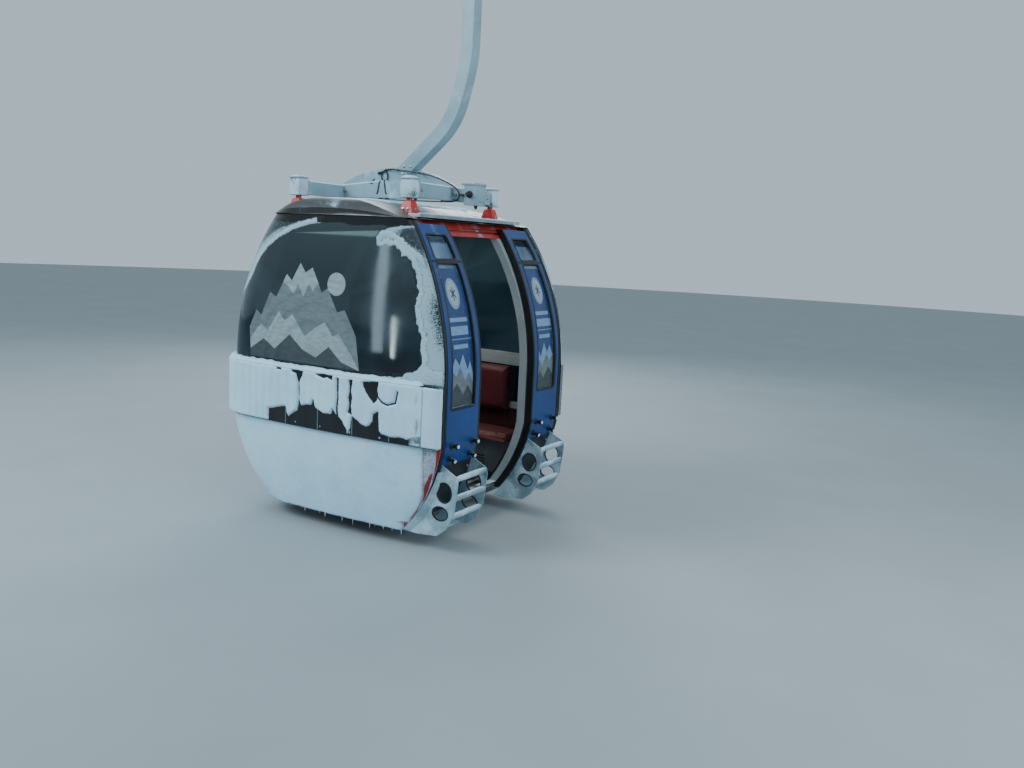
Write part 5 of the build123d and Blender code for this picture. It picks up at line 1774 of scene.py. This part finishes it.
def finish_cushion(soft, source):
    soft.data.shade_smooth()
    soft.data.materials.clear()
    soft.data.materials.append(seat_vinyl)
    smooth = soft.modifiers.new("Subdivision", "SUBSURF")
    smooth.levels = smooth.render_levels = 1
    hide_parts(source)
    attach(soft, "cabin")


def to_rear(front, name):
    """The mirror image of a front cushion across the cabin's middle."""
    mirrored = bmesh.new()
    mirrored.from_mesh(front.data)
    bmesh.ops.scale(mirrored, vec=(1, -1, 1), verts=mirrored.verts[:])
    bmesh.ops.reverse_faces(mirrored, faces=mirrored.faces[:])
    rear = bpy.data.objects.new(name, bpy.data.meshes.new(name))
    mirrored.to_mesh(rear.data)
    mirrored.free()
    bpy.context.scene.collection.objects.link(rear)
    return rear


SEAT_LOW = UNDERSIDE + 0.400
BACK_FACE = 0.776
seat_front = cushion("seat_cushion_front", "seat_pad_front", lambda co: co.z < SEAT_LOW + 0.008,
                     Vector((0, 0, 1)))
back_front = cushion("back_cushion_front", "backrest_front", lambda co: co.y < -BACK_FACE + 0.012,
                     Vector((0, 1, 0)))
for soft, word in ((seat_front, "seat"), (back_front, "back")):
    rear = to_rear(soft, f"{word}_cushion_rear")
    source = {"seat": "seat_pad", "back": "backrest"}[word]
    finish_cushion(soft, f"{source}_front")
    finish_cushion(rear, f"{source}_rear")

# %% [markdown]
# ## Inside and underneath
# A grab rail hangs from the ceiling between round vents, the benches have heater slots and kick
# plates, the sill has treads, and the floor pan has ribs, bolts and drains underneath.

# %% Inside
ceiling = surface("roof_shell")
inside = bmesh.new()
RAIL_HEIGHT = 1.925
tube(inside, [at(-0.46 + 0.92 * k / 12, 0, RAIL_HEIGHT) for k in range(13)], 0.0125, 16)
for x in (-0.44, 0.0, 0.44):
    top, _, _, _ = ceiling.ray_cast(at(x, 0, 1.6), Vector((0, 0, 1)))
    rod(inside, at(x, 0, RAIL_HEIGHT - 0.004), top + Vector((0, 0, 0.004)), 0.009, 20)
    rod(inside, top - Vector((0, 0, 0.005)), top + Vector((0, 0, 0.004)), 0.028, 28, 0.002)
for x in (-0.46, 0.46):
    rod(inside, at(x - math.copysign(0.004, x), 0, RAIL_HEIGHT),
        at(x + math.copysign(0.010, x), 0, RAIL_HEIGHT),
        0.0135, 20, 0.003)
piece(inside, "ceiling_rail", bright_steel)

vents = bmesh.new()
for x, y in ((-0.30, -0.40), (0.30, -0.40), (-0.30, 0.40), (0.30, 0.40)):
    top, _, _, _ = ceiling.ray_cast(at(x, y, 1.6), Vector((0, 0, 1)))
    for radius in (0.055, 0.040, 0.025):
        turned(vents, [(-0.004, radius - 0.004), (0.006, radius - 0.004), (0.008, radius),
                       (-0.004, radius + 0.004),
                       (-0.004, radius - 0.004)], top, (0, 0, -1), 36)
    for k in range(3):
        way = Vector((math.cos(math.pi * k / 3), math.sin(math.pi * k / 3), 0))
        rod(vents, top - 0.056 * way - Vector((0, 0, 0.002)), top + 0.056 * way - Vector((0, 0, 0.002)),
            0.0025, 10)
for side in (-1, 1):
    for column in (-0.45, 0.0, 0.45):
        for row in range(6):
            height = 0.155 + 0.022 * row
            block(vents, at(column - 0.12, side * 0.445 - 0.002, height),
                  at(column + 0.12, side * 0.445 + 0.002, height + 0.009), 0.001)
piece(vents, "heater_and_ceiling_vents", black_nylon)

kick = bmesh.new()
for side in (-1, 1):
    block(kick, at(-0.57, side * 0.4445 - 0.0015, 0.052), at(0.57, side * 0.4445 + 0.0015, 0.120), 0.001)
    for x in (-0.54, -0.18, 0.18, 0.54):
        for height in (0.066, 0.106):
            rod(kick, at(x, side * 0.445, height), at(x, side * 0.4415, height), 0.006, 16, 0.001)
for x in (0.584, 0.594, 0.604, 0.614):
    block(kick, at(x - 0.0022, -0.36, 0.1165), at(x + 0.0022, 0.36, 0.1200), 0.0008)
piece(kick, "kick_plates_and_treads", drawn_aluminium)

# A flat black strip on the door header is painted shade, standing for the dark inside of its slot.
slot_shade_strip = bmesh.new()
lintel_face, _, _, _ = surface("door_header").ray_cast(at(FAR, 0.1, 1.957), Vector((-1, 0, 0)))
block(slot_shade_strip, at(lintel_face.x - 0.006, -0.10, 1.950), at(lintel_face.x + 0.0005, 0.36, 1.964), 0.0002)
print("lintel face at", round(lintel_face.x, 4))
piece(slot_shade_strip, "lintel_slot_painted_shade", black_nylon)

# %% Underneath
below = bmesh.new()
for y in (-0.36, 0.0, 0.36):
    block(below, at(-0.285, y - 0.020, -0.012), at(0.285, y + 0.020, 0.003), 0.003)
    for x in (-0.24, -0.08, 0.08, 0.24):
        bolt(below, at(x, y, -0.012), (0, 0, -1), 0.008)
for x in (-0.42, 0.42):
    for y in (-0.45, -0.15, 0.15, 0.45):
        bolt(below, at(x, y, 0.0), (0, 0, -1), 0.007)
for x, y in ((-0.15, -0.52), (0.15, 0.52), (-0.15, 0.52), (0.15, -0.52)):
    rod(below, at(x, y, 0.004), at(x, y, -0.018), 0.012, 20, 0.002)
piece(below, "pan_ribs_and_bolts", floor_aluminium)
print("inside and underneath made")

# %% [markdown]
# ## Floor and light
# A plain pale floor lies just under the cabin, whose hanger holds it clear. A large soft panel
# from the left and above is the main light, another fills from the right and a third from behind.
# Narrow upright panels give the dark window the tall streaks that bright doorways would, and a
# weak panel under the ceiling lights the seats.

# %% Floor and light
FLOOR_DROP = 0.10

floor_mesh = bmesh.new()
bmesh.ops.create_circle(floor_mesh, cap_ends=True, segments=96, radius=40.0)
studio_floor = bpy.data.objects.new("studio_floor", bpy.data.meshes.new("studio_floor"))
floor_mesh.transform(Matrix.Translation((0, 0, UNDERSIDE - FLOOR_DROP)))
floor_mesh.to_mesh(studio_floor.data)
floor_mesh.free()
bpy.context.scene.collection.objects.link(studio_floor)
pale_floor, floor_tree, floor_shader, floor_place = begin("pale_studio_floor", Roughness=0.8)
layers(floor_tree, floor_shader, "#9aa3a7", (blotches(floor_tree, floor_place, 900, 0.3, 0.8), "#939ca0"))
studio_floor.data.materials.append(pale_floor)

LIGHTS = (
    # name, place from the cabin's foot, aim, width, height, watts, colour
    ("key", (-4.5, -6.0, 6.8), (0, 0, 1.1), 4.5, 4.5, 690, "#e2f2fb"),
    ("fill", (7.0, -1.5, 4.0), (0.6, 0, 1.0), 4.0, 4.0, 260, "#e6f3fb"),
    ("streak", (-2.9, -6.2, 1.7), (0.5, -0.8, 1.5), 0.26, 2.3, 15, "#c3e0ee"),
    ("sliver", (-2.4, -6.1, 0.9), (0.6, -0.8, 1.2), 0.07, 0.8, 6, "#d6f0f2"),
    ("inside", (-0.1, 0, 1.90), (0, 0, 0), 0.9, 0.9, 15, "#f4f1e6"),
    ("back", (-4.0, 6.5, 5.5), (0, 0, 1.2), 4.5, 4.5, 380, "#eef7fc"),
)
for name, place, target, wide, high, watts, tone in LIGHTS:
    lamp = bpy.data.lights.new(name, "AREA")
    lamp.shape = "RECTANGLE"
    lamp.size, lamp.size_y = wide, high
    lamp.energy = watts
    lamp.color = colour(tone)[:3]
    holder = bpy.data.objects.new(name, lamp)
    bpy.context.scene.collection.objects.link(holder)
    holder.location = at(*place)
    holder.rotation_euler = (Vector(target) - Vector(place)).to_track_quat("-Z", "Y").to_euler()
world = bpy.data.worlds.new("pale_room")
world.use_nodes = True
world.node_tree.nodes["Background"].inputs["Color"].default_value = colour("#c6dbe7")
world.node_tree.nodes["Background"].inputs["Strength"].default_value = 0.86
bpy.context.scene.world = world
print(len(LIGHTS), "lights")
